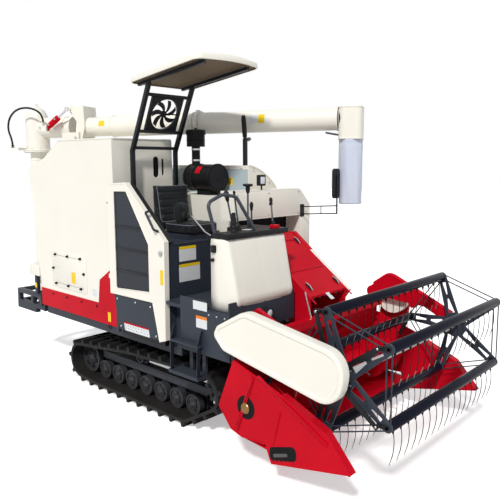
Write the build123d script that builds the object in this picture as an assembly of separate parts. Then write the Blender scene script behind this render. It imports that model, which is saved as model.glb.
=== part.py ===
"""Small tracked combine harvester with a two metre header, in millimetres.

+X is forward, +Y the machine's left, +Z up. The origin is on the ground below the middle of its outline.
Each function makes one assembly and adds its pieces to NODES, one entry per sub-part.
"""
from build123d import *
from math import asin, atan2, cos, degrees, hypot, pi, radians, sin, sqrt, tan
import os

NODES = {}
FIT = 0.3            # running gap of a wheel on its axle or of a piece beside its seat
PIN_GAP = 0.3        # radial gap between a pin and its bore

# Tracks
TRACK_Y = 550        # centre of each track from the middle of the machine
TRACK_WIDTH = 430
BELT = 28            # rubber body of the track
LUG_HEIGHT = 40
LUG_LENGTH = 46
LUG_OVERLAP = 30     # how far each lug crosses the middle of the track
LUG_PITCH = 164
HORN_HEIGHT = 26     # guide horns that run between the roller discs
HORN_WIDTH = 26
ROLLER_R = 95
ROLLER_COUNT = 7
ROLLER_PITCH = 232.7
ROLLER_X = -964.5    # rearmost roller
ROLLER_WIDTH = 162
ROLLER_GAP = 44      # free space between the two discs of a wheel
AXLE_R = 15
IDLER_X, IDLER_Z, IDLER_R = -1230, 240, 157
CARRIER_X, CARRIER_Z, CARRIER_R = -350, 432, 60
SPROCKET_X, SPROCKET_Z, SPROCKET_R = 740, 390, 142
SPROCKET_TEETH = 12
DRIVE_SHAFT_R = 32

# Track beams and chassis
BEAM_X = (-1050, 585)
BEAM_Z = (270, 345)
BEAM_WIDTH = 84
HANGER = 24          # plate that carries an axle between the discs
CROSS_X = (-800, 200)
CROSS_WIDTH = 90
LEG_Y = (220, 310)
RAIL_Z = (645, 725)
RAIL_X = (-1950, 940)
RAIL_WIDTH = 80
OUTRIGGER_X = (-1900, -1000, -100, 380)
OUTRIGGER_Y = 750
GEARBOX_X = (600, 880)
GEARBOX_Z = (250, 600)
GEARBOX_Y = 150

# Rear frame of square tube
REAR_TUBE = 50
REAR_END = -2600
REAR_Z = (600, 700)
REAR_Y = 760
TOW_PIN_R = 15

# Grain tank
TANK_RIGHT = -760
TANK_LEFT = -45
TANK_WALL = 8
TANK_BOTTOM = 925
TANK_TOP = 2540
TANK_FRONT = -520
TANK_OUTLINE = [(-1990, TANK_BOTTOM), (-2155, 2250), (-1800, 2370), (-1510, TANK_TOP),
                (TANK_FRONT, TANK_TOP), (-500, TANK_BOTTOM)]
SKIRT = 4            # thickness of the red skirt plate on the tank
HATCH_X = (-1840, -1060)
HATCH_Z = (950, 1330)
KNOB_R = 17

# Engine bay, radiator door and seat box
DOOR_Y = -900
DOOR_DEPTH = 48
DOOR_SKIN = 8
DOOR_PIN_R = 5
DOOR_OUTLINE = [(-400, 1110), (245, 1114), (320, 778), (409, 807), (415, 1660), (-120, 2146), (-400, 2130)]
DOOR_WINDOW = [(-300, 1170), (205, 1200), (205, 1620), (-105, 2070), (-300, 2065)]
DOOR_HINGE = (-411, -893)
DOOR_KNUCKLES = (1250, 1960)
COWL_Y = (-845, -790)
CORE_Y = (-835, -770)
BAY_X = (-400, 400)
BAY_Y = (-845, -265)
BAY_BOTTOM = RAIL_Z[1]
SEAT_BOX_TOP = 1620
SHEET = 12           # thickness of folded body panels
SEAT_Y = (-495, -85)

# Operator's floor, steps and console
FLOOR_X = (BAY_X[1], 1190)
FLOOR_Y = (-900, -130)
FLOOR_TOP = 1160
FLOOR_THICK = 30
CONSOLE_FACE = [(1207, 1262), (1102, 1730)]
DASH_Z = (1730, 1772)
STEP_UPPER = ((560, 880), 870)
STEP_LOWER = ((444, 814), 575)
STEP_Y = (-905, -775)

# Thresher
THRESHER_Y = (-30, 830)
THRESHER_X = (-1950, 420)
THRESHER_TOP = 2000
HOOD_X = (420, 600)
HOOD_TOP = 2065
HOOD_BOTTOM = 1800
DRUM_WALL = 247      # upright side of the drum cover, towards the seat
DRUM_MID = (130, 1628)   # centre of its round side, as (y, z)
DRUM_R = 674
DRUM_X = (-1700, 300)

# Canopy, fan and rest arm
POST_Y = (-570, -50)
POST_FOOT = (-455, 1640)
POST_BEND = (-455, 2430)
POST_SIZE = 36
ROOF_Y = (-655, 105)
ROOF_X = (-385, 640)
ROOF_Z = (3045, 3175)     # underside at the rear and at the front
ROOF_DEPTH = 85
ROOF_SLOPE = (ROOF_Z[1] - ROOF_Z[0]) / (ROOF_X[1] - ROOF_X[0])
POST_TOP = (-172, ROOF_Z[0] + ROOF_SLOPE * (-172 - ROOF_X[0]) - 26)
FAN_R = 160
FAN_Z = POST_BEND[1] + 0.568 * (POST_TOP[1] - POST_BEND[1])
REST = (128, 372)

# Unloading auger
PIPE = (-2280, -570)
PIPE_R = 90
SWIVEL_Z = 2455
TUBE_ANGLE = 25.35
TUBE_Z = 2712
TUBE_R = 112
TUBE_HINGE = (600, 2590)
TUBE_START = 620
TUBE_END = 3510
TUBE_RISE = 36       # of the tube's middle from its start to its end
SPOUT_HALF = 116
SPOUT_HEIGHT = (-165, 150)   # below and above TUBE_Z
SPOUT_WALL = 6
SPOUT_ROUND = 60
HOSE_R = 11
HOSE_SIDE = -223
SPOUT_AT = 3620
SOCK_R = 114
SOCK_Z = (1912, TUBE_Z + SPOUT_HEIGHT[0])

# Header and feeder house
LIFT_X, LIFT_Z = 620, 1500
FEEDER_Y = (-90, 440)
FEEDER_SLOPE = 35.8
FEEDER_HALF = 165
FEEDER_LENGTH = 850
LIFT_SHAFT_R = 24
LIFT_BRACKET_Y = (-98, 496)   # near faces of the two brackets on the housing
HEADER_HALF = 1000
HEADER_PLATE = 15
AUGER_X, AUGER_Z = 1459, 538
AUGER_TUBE_R = 95
AUGER_R = 205
AUGER_SHAFT_R = 28
WEDGE = 70                # width of the dividers
GUARDS = 19
GUARD_PITCH = 100
GUARD_LENGTH = 90

# Hydraulic cylinders: pin places as (x, z), or (along, z) on the unloading auger
LIFT_BASE = (660, 745)
LIFT_EYE_ALONG = 728      # along the feeder house from the lift axis
LIFT_EYE_DROP = 40        # below the feeder house
LIFT_CYLINDER_Y = 155
LIFT_PIN_R = 10
LIFT_BORE = (25, 12)      # outer radius of the barrel, radius of the rod
LIFT_LENGTHS = (315, 305) # barrel and rod
REEL_BASE = (1600, 700)
REEL_EYE_ALONG = 450      # along the reel arm from its pivot
REEL_CYLINDER_Y = 949
REEL_BORE = (15, 7)
REEL_LENGTHS = (205, 245)
TUBE_BASE = (260, 2692)
TUBE_EYE = (530, 2900)
TUBE_CYLINDER_Y = -185
TUBE_BORE = (24, 12)
TUBE_LENGTHS = (190, 175)

# Reel
REEL_X, REEL_Z = 2199, 919.5
REEL_R = 433
REEL_Y = (-842, 852)      # middle of the right and of the left star
BATS = 5
BAT_START = 36
BAT_R = 37
CRANK = 62                # how far the control star stands off the reel's axis
TINES = 17
TINE_PITCH = 98
TINE_LENGTH = 254
ARM_X, ARM_Z = 1320, 1085
ARM_Y = 910
ARM_THICK = 36
ARM_PIN_R = 20
REEL_SHAFT_R = 25
REEL_PIN_R = 8
COVER_Y = (-1060, -970)   # chain cover beside the right arm


def block(x, y, z):
    """A box from its ranges along each axis."""
    place = Pos((x[0] + x[1]) / 2, (y[0] + y[1]) / 2, (z[0] + z[1]) / 2)
    return place * Box(abs(x[1] - x[0]), abs(y[1] - y[0]), abs(z[1] - z[0]))


def side_plate(points, y, radius=0):
    """A plate between two values of Y, from (x, z) corners, which may be rounded."""
    face = make_face(Polyline(*points, close=True))
    if radius:
        face = fillet(face.vertices(), radius)
    return extrude(Plane.XZ.offset(-max(y)) * face, abs(y[1] - y[0]))


def rod(start, end, radius):
    """A round bar between two points."""
    a, b = Vector(*start), Vector(*end)
    place = Plane(origin=a, z_dir=b - a)
    return place * Cylinder(radius, (b - a).length, align=(Align.CENTER, Align.CENTER, Align.MIN))


def disc(x, z, radius, y):
    """A round bar along Y."""
    return rod((x, min(y), z), (x, max(y), z), radius)


def bar(start, end, width, depth):
    """A bar of rectangular section between two points, its width across and its depth up."""
    a, b = Vector(*start), Vector(*end)
    along = (b - a).normalized()
    side = Vector(0, 0, 1).cross(along)
    if side.length < 0.01:
        side = Vector(0, 1, 0)
    place = Plane(origin=a, x_dir=side, z_dir=along)
    return place * Box(width, depth, (b - a).length, align=(Align.CENTER, Align.CENTER, Align.MIN))


def add(name, shape):
    """Keep a finished sub-part under its name."""
    NODES[name] = shape


def other_side(shape):
    """The same piece on the machine's left."""
    return mirror(shape, about=Plane.XZ)


def wheel_circles():
    """Centre and radius of what the belt wraps, in the order in which it passes them."""
    roller_z = LUG_HEIGHT + BELT + ROLLER_R
    last = ROLLER_X + (ROLLER_COUNT - 1) * ROLLER_PITCH
    return [(ROLLER_X, roller_z, ROLLER_R), (last, roller_z, ROLLER_R), (SPROCKET_X, SPROCKET_Z, SPROCKET_R),
            (CARRIER_X, CARRIER_Z, CARRIER_R), (IDLER_X, IDLER_Z, IDLER_R)]


def belt_spans(height):
    """Straight spans of the loop, each as start, end and direction, at a height above the wheels."""
    circles = wheel_circles()
    spans = []
    for (x0, z0, r0), (x1, z1, r1) in zip(circles, circles[1:] + circles[:1]):
        turn = atan2(z1 - z0, x1 - x0) + asin((r0 - r1) / hypot(x1 - x0, z1 - z0))
        nx, nz = sin(turn), -cos(turn)
        start = (x0 + (r0 + height) * nx, z0 + (r0 + height) * nz)
        end = (x1 + (r1 + height) * nx, z1 + (r1 + height) * nz)
        spans.append((start, end, turn))
    return spans


def belt_face(height):
    """The area inside the loop at a height above the wheels."""
    circles = wheel_circles()
    spans = belt_spans(height)
    edges = []
    for i, (start, end, turn) in enumerate(spans):
        following = spans[(i + 1) % len(spans)]
        x, z, r = circles[(i + 1) % len(circles)]
        middle = turn + ((following[2] - turn) % (2 * pi)) / 2
        crown = (x + (r + height) * sin(middle), z - (r + height) * cos(middle))
        edges.append(Line(start, end))
        edges.append(ThreePointArc(end, crown, following[0]))
    return make_face(edges)


def belt_places(height, count):
    """Evenly spaced places round the loop, each as x, z and direction in degrees."""
    circles = wheel_circles()
    spans = belt_spans(height)
    pieces = []
    for i, (start, end, turn) in enumerate(spans):
        x, z, r = circles[(i + 1) % len(circles)]
        bend = (spans[(i + 1) % len(spans)][2] - turn) % (2 * pi)
        pieces.append(("run", hypot(end[0] - start[0], end[1] - start[1]), start, turn))
        pieces.append(("wrap", bend * (r + height), (x, z, r + height), turn))
    total = sum(piece[1] for piece in pieces)
    places = []
    for k in range(count):
        left = total * k / count
        for kind, length, base, turn in pieces:
            if left <= length:
                break
            left -= length
        if kind == "run":
            places.append((base[0] + left * cos(turn), base[1] + left * sin(turn), degrees(turn)))
        else:
            angle = turn + left / base[2]
            places.append((base[0] + base[2] * sin(angle), base[1] - base[2] * cos(angle), degrees(angle)))
    return places


def tread_block(place, length, height, y, sink):
    """A block that stands out of the belt at a place of the loop."""
    x, z, turn = place
    corners = [(-length / 2, sink), (-length * 0.32, -height), (length * 0.32, -height), (length / 2, sink)]
    face = Pos(x, z) * Rot(0, 0, turn) * make_face(Polyline(*corners, close=True))
    return extrude(Plane.XZ.offset(-max(y)) * face, abs(y[1] - y[0]))


def track():
    """One rubber track: belt, staggered lugs outside and guide horns inside."""
    half = TRACK_WIDTH / 2
    outer, inner = -TRACK_Y - half, -TRACK_Y + half
    ring = belt_face(BELT) - belt_face(0)
    belt = extrude(Plane.XZ.offset(-inner) * ring, TRACK_WIDTH)
    count = round(sum(hypot(b[0] - a[0], b[1] - a[1]) for a, b, _ in belt_spans(BELT)) * 1.28 / LUG_PITCH)
    places = belt_places(BELT, 2 * count)
    lugs = []
    for k, place in enumerate(places):
        y = (outer, -TRACK_Y + LUG_OVERLAP) if k % 2 else (-TRACK_Y - LUG_OVERLAP, inner)
        lugs.append(tread_block(place, LUG_LENGTH, LUG_HEIGHT, y, 2))
    horn_y = (-TRACK_Y - HORN_WIDTH / 2, -TRACK_Y + HORN_WIDTH / 2)
    horns = [tread_block((x, z, turn + 180), LUG_LENGTH, HORN_HEIGHT, horn_y, 2)
             for x, z, turn in belt_places(0, count)]
    return belt + lugs + horns


def twin_wheel(x, z, radius, rim, bore):
    """A wheel of two discs with a hub between them, bored for its axle."""
    half, gap = ROLLER_WIDTH / 2, ROLLER_GAP / 2
    hub = min(radius * 0.45, radius - rim)
    outline = [(bore, -half), (hub, -half), (hub, -half + 12), (radius - rim, -half + 12), (radius - rim, -half),
               (radius, -half), (radius, -gap), (bore, -gap)]
    disc_half = revolve(Plane.XZ * make_face(Polyline(*outline, close=True)), Axis.Z)
    right = Pos(x, -TRACK_Y, z) * Rot(90, 0, 0) * disc_half
    left = mirror(right, about=Plane.XZ.offset(TRACK_Y))
    return [right, left]


def sprocket():
    """Drive wheel with two toothed rings on the drive shaft."""
    ring = Circle(SPROCKET_R - FIT - 22)
    teeth = [Rot(0, 0, 360 * k / SPROCKET_TEETH) * Pos(SPROCKET_R - FIT - 22, 0) * Rectangle(40, 30)
             for k in range(SPROCKET_TEETH)]
    edge = (ring + teeth) & Circle(SPROCKET_R - FIT)
    windows = [Rot(0, 0, 60 * k) * Pos(SPROCKET_R * 0.5, 0) * Circle(16) for k in range(6)]
    plate = edge - windows - Circle(DRIVE_SHAFT_R + PIN_GAP)
    thick = (ROLLER_WIDTH - ROLLER_GAP) / 2
    y = (-TRACK_Y - ROLLER_GAP / 2 - thick, -TRACK_Y + ROLLER_GAP / 2)
    place = Pos(SPROCKET_X, SPROCKET_Z)
    return [extrude(Plane.XZ.offset(-y0 - thick) * (place * plate), thick) for y0 in y]


def undercarriage():
    """Tracks, their wheels and the beams that carry them, on both sides."""
    roller_z = LUG_HEIGHT + BELT + ROLLER_R
    bore = AXLE_R + PIN_GAP
    rollers = []
    for k in range(ROLLER_COUNT):
        rollers += twin_wheel(ROLLER_X + k * ROLLER_PITCH, roller_z, ROLLER_R - FIT, 14, bore)
    rollers += twin_wheel(CARRIER_X, CARRIER_Z, CARRIER_R - FIT, 14, bore)
    idler = twin_wheel(IDLER_X, IDLER_Z, IDLER_R - FIT, 26, bore)

    hang = (-TRACK_Y - HANGER / 2, -TRACK_Y + HANGER / 2)
    axle = (-TRACK_Y - ROLLER_WIDTH / 2, -TRACK_Y + ROLLER_WIDTH / 2)
    beam = block(BEAM_X, (-TRACK_Y - BEAM_WIDTH / 2, -TRACK_Y + BEAM_WIDTH / 2), BEAM_Z)
    for k in range(ROLLER_COUNT):
        x = ROLLER_X + k * ROLLER_PITCH
        beam += side_plate([(x - 62, BEAM_Z[0] + 2), (x - 24, roller_z - 24), (x + 24, roller_z - 24),
                            (x + 62, BEAM_Z[0] + 2)], hang)
        beam += disc(x, roller_z, AXLE_R, axle)
    beam += block((CARRIER_X - 30, CARRIER_X + 30), hang, (BEAM_Z[1] - 2, CARRIER_Z + 20))
    beam += disc(CARRIER_X, CARRIER_Z, AXLE_R, axle)
    beam += side_plate([(IDLER_X - 30, IDLER_Z - 30), (BEAM_X[0] + 60, BEAM_Z[0] + 2), (BEAM_X[0] + 60, BEAM_Z[1] - 2),
                        (BEAM_X[0] - 20, BEAM_Z[1] - 2), (IDLER_X - 30, IDLER_Z + 30)], hang)
    beam += disc(IDLER_X, IDLER_Z, AXLE_R, axle)

    wheels = Compound(rollers + idler + sprocket())
    belt = track()
    add("track_right", belt)
    add("track_left", other_side(belt))
    add("track_wheels_right", wheels)
    add("track_wheels_left", other_side(wheels))
    return beam


def chassis(beam):
    """Rails, outriggers, legs and track beams, with the gearbox and its drive shafts in front."""
    y_in, y_out = LEG_Y
    frame = None
    for side in (-1, 1):
        rail = block(RAIL_X, (side * y_in, side * (y_in + RAIL_WIDTH)), RAIL_Z)
        frame = rail if frame is None else frame + rail
        for x in CROSS_X:
            frame += block((x, x + CROSS_WIDTH), (side * y_in, side * y_out), (BEAM_Z[0], RAIL_Z[0] + 2))
        frame += block((OUTRIGGER_X[0], OUTRIGGER_X[-1]), (side * (OUTRIGGER_Y - 50), side * OUTRIGGER_Y), RAIL_Z)
    for x in CROSS_X:
        span = TRACK_Y
        frame += block((x, x + CROSS_WIDTH), (-span, span), BEAM_Z)
    frame = frame + beam + other_side(beam)
    for x in OUTRIGGER_X:
        frame += block((x, x + 60), (-OUTRIGGER_Y, OUTRIGGER_Y), RAIL_Z)
    frame += block((RAIL_X[1] - 60, RAIL_X[1]), (-y_out, y_out), RAIL_Z)
    add("main_frame", frame)

    box = block(GEARBOX_X, (-GEARBOX_Y, GEARBOX_Y), GEARBOX_Z)
    box = fillet(box.edges().filter_by(Axis.Y), 45)
    top_y = 90
    box += block((GEARBOX_X[0] + 40, RAIL_X[1] - 60), (-top_y, top_y), (GEARBOX_Z[1] - 1, RAIL_Z[0] + 40))
    base_x, base_z = LIFT_BASE
    box += side_plate([(base_x - 28, GEARBOX_Z[1] - 1), (base_x - 18, base_z + 20), (base_x + 18, base_z + 20),
                       (base_x + 60, GEARBOX_Z[1] - 1)], (top_y - 10, top_y + 8))
    box += disc(base_x, base_z, LIFT_PIN_R, (top_y, LIFT_CYLINDER_Y + 20))
    shaft_end = TRACK_Y + ROLLER_WIDTH / 2
    box += disc(SPROCKET_X, SPROCKET_Z, DRIVE_SHAFT_R, (-shaft_end, shaft_end))
    for side in (-1, 1):
        box += disc(SPROCKET_X, SPROCKET_Z, 78, (side * (GEARBOX_Y - 5), side * (TRACK_Y - TRACK_WIDTH / 2 - 30)))
    add("gearbox", box)

    rear = None
    inner = RAIL_X[0]
    for z in (REAR_Z[1], REAR_Z[0] + REAR_TUBE):
        low = z - REAR_TUBE
        for side in (-1, 1):
            edge = (side * (REAR_Y - REAR_TUBE), side * REAR_Y)
            tube = block((REAR_END, inner), edge, (low, z)) if z == REAR_Z[1] else block((REAR_END, -2150), edge, (low, z))
            rear = tube if rear is None else rear + tube
    for x in (REAR_END, REAR_END + 330):
        rear += block((x, x + REAR_TUBE), (-REAR_Y, REAR_Y), (REAR_Z[1] - REAR_TUBE, REAR_Z[1]))
    rear += block((inner - 20, inner), (-REAR_Y, REAR_Y), (RAIL_Z[0], RAIL_Z[1]))
    lug = side_plate([(REAR_END + 10, REAR_Z[1] - 2), (REAR_END + 10, REAR_Z[0] + 10), (REAR_END + 90, REAR_Z[0] + 10),
                      (REAR_END + 90, REAR_Z[1] - 2)], (-30, 30))
    tow = rod((REAR_END + 50, 0, REAR_Z[0]), (REAR_END + 50, 0, REAR_Z[1] + 30), TOW_PIN_R)
    rear = rear - block((REAR_END + 10, REAR_END + 90), (-30, 30), (REAR_Z[1] - REAR_TUBE - 1, REAR_Z[1] + 1))
    rear = rear + lug - tow
    add("rear_frame", rear)


def grain_tank():
    """Hollow tank with its sight windows, roof, red skirt and cleaning hatch."""
    y = (TANK_RIGHT, TANK_LEFT)
    outside = side_plate(TANK_OUTLINE, y)
    w = TANK_WALL
    inside_outline = [(-1990 + 2 * w, TANK_BOTTOM + w), (-2155 + 2 * w, 2250 - w), (-1800 + w, 2370 - w),
                      (-1510 + w, TANK_TOP + 1), (TANK_FRONT - w, TANK_TOP + 1), (-500 - 2 * w, TANK_BOTTOM + w)]
    tank = outside - side_plate(inside_outline, (y[0] + w, y[1] - w))
    windows = [(-250, 2170, 2380, 34), (-165, 2190, 2360, 14)]
    panes = []
    for wy, z0, z1, r in windows:
        slot = Pos(wy, (z0 + z1) / 2) * SlotOverall(z1 - z0, 2 * r, rotation=90)
        front = Plane(origin=(TANK_FRONT + 20, 0, 0), x_dir=(0, 1, 0), z_dir=(1, 0, 0))
        tank -= extrude(front * slot, -60)
        pane = Pos(wy, (z0 + z1) / 2) * SlotOverall(z1 - z0 + 30, 2 * r + 20, rotation=90)
        back = Plane(origin=(TANK_FRONT - w + 0.9, 0, 0), x_dir=(0, 1, 0), z_dir=(1, 0, 0))
        panes.append(extrude(back * pane, -4))
    add("grain_tank", tank)
    roof = block((-1530, TANK_FRONT + 8), (y[0] - 6, y[1] + 6), (TANK_TOP, TANK_TOP + 14))

    front = TANK_OUTLINE[-1][0]
    band = [(-1990, RAIL_Z[1] + 2), (-1990, TANK_BOTTOM), (-830, TANK_BOTTOM), (-798, 1163), (-617, 1277),
            (-512, 1277), (front, TANK_BOTTOM), (front, RAIL_Z[1] + 2)]
    skirt = side_plate(band, (y[0] - SKIRT, y[0]))
    skirt += block((-1990, front), (y[0] - 1, y[0] + 40), (RAIL_Z[1] + 2, TANK_BOTTOM))
    skirt += block((-1990, -1960), (y[0], y[1]), (RAIL_Z[1] + 2, TANK_BOTTOM))
    skirt += block((front - 30, front), (y[0], y[1]), (RAIL_Z[1] + 2, TANK_BOTTOM))
    add("skirt", skirt)

    hatch = block(HATCH_X, (y[0] - 6, y[0]), HATCH_Z)
    hatch = fillet(hatch.edges().filter_by(Axis.Y), 30)
    for x in (HATCH_X[0] + 60, (HATCH_X[0] + HATCH_X[1]) / 2, HATCH_X[1] - 60):
        for z in (HATCH_Z[0] + 50, (HATCH_Z[0] + HATCH_Z[1]) / 2, HATCH_Z[1] - 50):
            if (x, z) != ((HATCH_X[0] + HATCH_X[1]) / 2, (HATCH_Z[0] + HATCH_Z[1]) / 2):
                hatch += disc(x, z, KNOB_R, (y[0] - 30, y[0] - 5))
    add("tank_fittings", Compound(panes + [roof, hatch]))


def radiator_door():
    """Slanted door with its mesh window, and the dark panel below it."""
    y = (DOOR_Y, DOOR_Y + DOOR_DEPTH)
    door = side_plate(DOOR_OUTLINE, y)
    hollow = offset(make_face(Polyline(*DOOR_OUTLINE, close=True)), -DOOR_SKIN * 2, kind=Kind.INTERSECTION)
    door -= extrude(Plane.XZ.offset(-y[1] - 1) * hollow, DOOR_DEPTH - DOOR_SKIN + 1)
    door -= side_plate(DOOR_WINDOW, (y[0] - 1, y[1]), 18)
    rim = [(x + (16 if x > 0 else -16), z + (16 if z > 1500 else -16)) for x, z in DOOR_WINDOW]
    add("door_screen", side_plate(rim, (y[0] + DOOR_SKIN, y[0] + DOOR_SKIN + 5), 18))
    handle = FilletPolyline((205, DOOR_Y + 3, 1905), (222, DOOR_Y - 38, 1900), (330, DOOR_Y - 38, 1760),
                            (335, DOOR_Y + 3, 1745), radius=16)
    grip = sweep(Plane(origin=handle @ 0, z_dir=handle % 0) * Circle(9), path=handle)
    grip += disc(370, 1560, 20, (DOOR_Y - 14, DOOR_Y + 3))
    hx, hy = DOOR_HINGE
    for z in DOOR_KNUCKLES:
        grip += rod((hx, hy, z), (hx, hy, z + 40), 10) + block((hx, DOOR_OUTLINE[0][0] + 1), (hy - 7, hy + 7), (z, z + 40))
        grip -= rod((hx, hy, z - 1), (hx, hy, z + 41), DOOR_PIN_R + PIN_GAP)
    add("radiator_door", door + grip)
    low = [(-355, 1102), (232, 1102), (305, 790), (-280, 790)]
    panel = side_plate(low, (DOOR_Y + 6, DOOR_Y + 18))
    panel += block((-280, 290), (DOOR_Y + 17, CORE_Y[0]), (800, 812))
    return panel


def door_bracket(z):
    """Arm and upright pin under one knuckle of the door."""
    hx, hy = DOOR_HINGE
    arm = block((hx - 6, hx + 7), (hy - 6, BAY_Y[0] + 12), (z - 13, z - FIT))
    arm += block((hx - 6, BAY_X[0] + 10), (BAY_Y[0], BAY_Y[0] + 12), (z - 13, z - FIT))
    return arm + rod((hx, hy, z - 2), (hx, hy, z + 38), DOOR_PIN_R)


def engine_bay(panel):
    """Seat box with its lower panel and seat pedestal, the radiator and its cowl, and the engine block."""
    t = SHEET
    box = block(BAY_X, BAY_Y, (BAY_BOTTOM, SEAT_BOX_TOP))
    box -= block((BAY_X[0] - 1, BAY_X[1] - t), (BAY_Y[0] - 1, BAY_Y[1] - t), (BAY_BOTTOM - 1, SEAT_BOX_TOP - t))
    box += block((-230, 220), (SEAT_Y[0] + 20, SEAT_Y[1] - 20), (SEAT_BOX_TOP - 1, SEAT_BOX_TOP + 45))
    box += block((BAY_X[0], BAY_X[0] + 30), (BAY_Y[0], BAY_Y[0] + 30), (BAY_BOTTOM, SEAT_BOX_TOP - t + 1))
    box += door_bracket(DOOR_KNUCKLES[0])
    add("seat_box", Compound([box, panel]))
    cowl = [(BAY_X[0], SEAT_BOX_TOP), (BAY_X[1], SEAT_BOX_TOP), (BAY_X[1], 1650), (-125, 2128), (BAY_X[0], 2112)]
    core = block((-320, 320), CORE_Y, (BAY_BOTTOM, SEAT_BOX_TOP - t))
    add("radiator", Compound([side_plate(cowl, COWL_Y) + door_bracket(DOOR_KNUCKLES[1]), core]))
    engine = block((-300, 300), (-720, -300), (BAY_BOTTOM + 60, 1350))
    engine += block((-250, 250), (-640, -380), (BAY_BOTTOM, BAY_BOTTOM + 61))
    add("engine_block", engine)


def seat():
    """Bucket seat with its side pad."""
    y = SEAT_Y
    cushion = block((-150, 260), y, (SEAT_BOX_TOP + 45, SEAT_BOX_TOP + 145))
    cushion = fillet(cushion.edges().filter_by(Axis.Z), 60)
    add("seat_cushion", cushion)
    back = side_plate([(-270, SEAT_BOX_TOP + 45), (-152, SEAT_BOX_TOP + 45), (-152, SEAT_BOX_TOP + 160),
                       (-215, SEAT_BOX_TOP + 500), (-300, SEAT_BOX_TOP + 500), (-290, SEAT_BOX_TOP + 200)], y)
    add("seat_back", back)
    pad = block((-20, 150), (y[0] + 30, y[0] + 120), (SEAT_BOX_TOP + 145.3, SEAT_BOX_TOP + 340))
    pad = fillet(pad.edges().filter_by(Axis.Y), 55)
    add("side_pad", pad)


def operator_place():
    """Floor with its toe board, front panel, steps, console, dash, hand rail and levers."""
    t = SHEET
    x, y = FLOOR_X, FLOOR_Y
    floor = block(x, y, (FLOOR_TOP - FLOOR_THICK, FLOOR_TOP))
    floor -= block((x[0] - 1, x[0] + 24), (y[0] - 1, BAY_Y[0]), (FLOOR_TOP - FLOOR_THICK - 1, FLOOR_TOP + 1))
    floor += block((610, 930 - FIT), (y[0], y[0] + t), (790, 1235))
    floor += block((925, x[1]), (y[0], y[0] + t), (790, FLOOR_TOP))
    floor += block((x[1] - t, x[1]), y, (1000, CONSOLE_FACE[0][1] - 7))
    for px in (x[0], x[1] - 130):
        for py in (y[0] + 130, y[1] - 60):
            floor += block((px, px + 50), (py, py + 50), (RAIL_Z[1] + 50, FLOOR_TOP - 5))
    for py in (y[0] + 130, y[1] - 60):
        floor += block((x[0], x[1] - 80), (py, py + 50), (RAIL_Z[1], RAIL_Z[1] + 55))
    steps = None
    for (x0, x1), z in (STEP_UPPER, STEP_LOWER):
        tread = block((x0, x1), STEP_Y, (z - 30, z)) - block((x0 + 8, x1 - 8), (STEP_Y[0] + 8, STEP_Y[1] - 8), (z - 31, z - 6))
        for k in range(5):
            sx = x0 + 45 + k * (x1 - x0 - 90) / 4
            tread -= block((sx - 10, sx + 10), (STEP_Y[0] + 30, STEP_Y[1] - 30), (z - 7, z + 1))
        steps = tread if steps is None else steps + tread
    leg_y = (STEP_Y[1] - 24, STEP_Y[1])
    for lx in (600, 760):
        steps += block((lx, lx + 40), leg_y, (STEP_LOWER[1] - 30, FLOOR_TOP - FLOOR_THICK + 1))
    add("operator_floor", floor + steps)

    (bx, bz), (tx, tz) = CONSOLE_FACE
    skin = [(930, FLOOR_TOP), (x[1] - t, FLOOR_TOP), (x[1] - t, bz - 7), (bx - 16, bz - 7), (bx, bz), (tx, tz), (930, tz)]
    shell = side_plate(skin, y)
    edges = shell.edges().filter_by(lambda e: abs(e.center().Y - y[0]) < 1 and e.center().X > 1100 and e.length > 300)
    shell = fillet(edges, 38)
    hollow = [(929, FLOOR_TOP - 1), (x[1] - 2 * t, FLOOR_TOP - 1), (bx - 3 * t, bz), (tx - 2 * t, tz - t), (929, tz - t)]
    shell -= side_plate(hollow, (y[0] + t, y[1] - t))
    add("console", shell)

    dash = block((930, 1118), (y[0] + 30, y[1] + 20), DASH_Z)
    dash = fillet(dash.edges().filter_by(Axis.Y).sort_by(Axis.X)[-2:], 12)
    dash += block((700, 932), (-450, y[1] + 20), DASH_Z)
    dash += block((700, 925), (-330, y[1] - 2), (FLOOR_TOP, DASH_Z[0] + 2))

    foot, crest = DASH_Z[1] - 3, DASH_Z[1] + 295
    hoop = FilletPolyline((950, y[0] + 50, foot), (905, y[0] + 14, crest - 60), (915, y[0] + 180, crest), (950, y[0] + 300, crest - 20),
                          (1030, y[0] + 440, foot), radius=60)
    dash += sweep(Plane(origin=hoop @ 0, z_dir=hoop % 0) * Circle(14), path=hoop)
    sticks = [(870, -590, 2080, 24, 90), (905, -530, 2060, 0, 0), (880, -360, 2110, 32, 30), (850, -285, 1975, 17, 70),
              (830, -170, 1985, 17, 60)]
    for lx, ly, top, knob_r, knob_h in sticks:
        fx = 960 if ly <= -450 else lx
        stick = rod((fx, ly, DASH_Z[1] - 3), (lx, ly, top), 7)
        if knob_r:
            stick += rod((lx, ly, top - knob_h), (lx, ly, top), knob_r)
        dash += stick + block((fx - 25, fx + 25), (ly - 25, ly + 25), (DASH_Z[1] - 1, DASH_Z[1] + 12))
    add("controls", dash)


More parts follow.
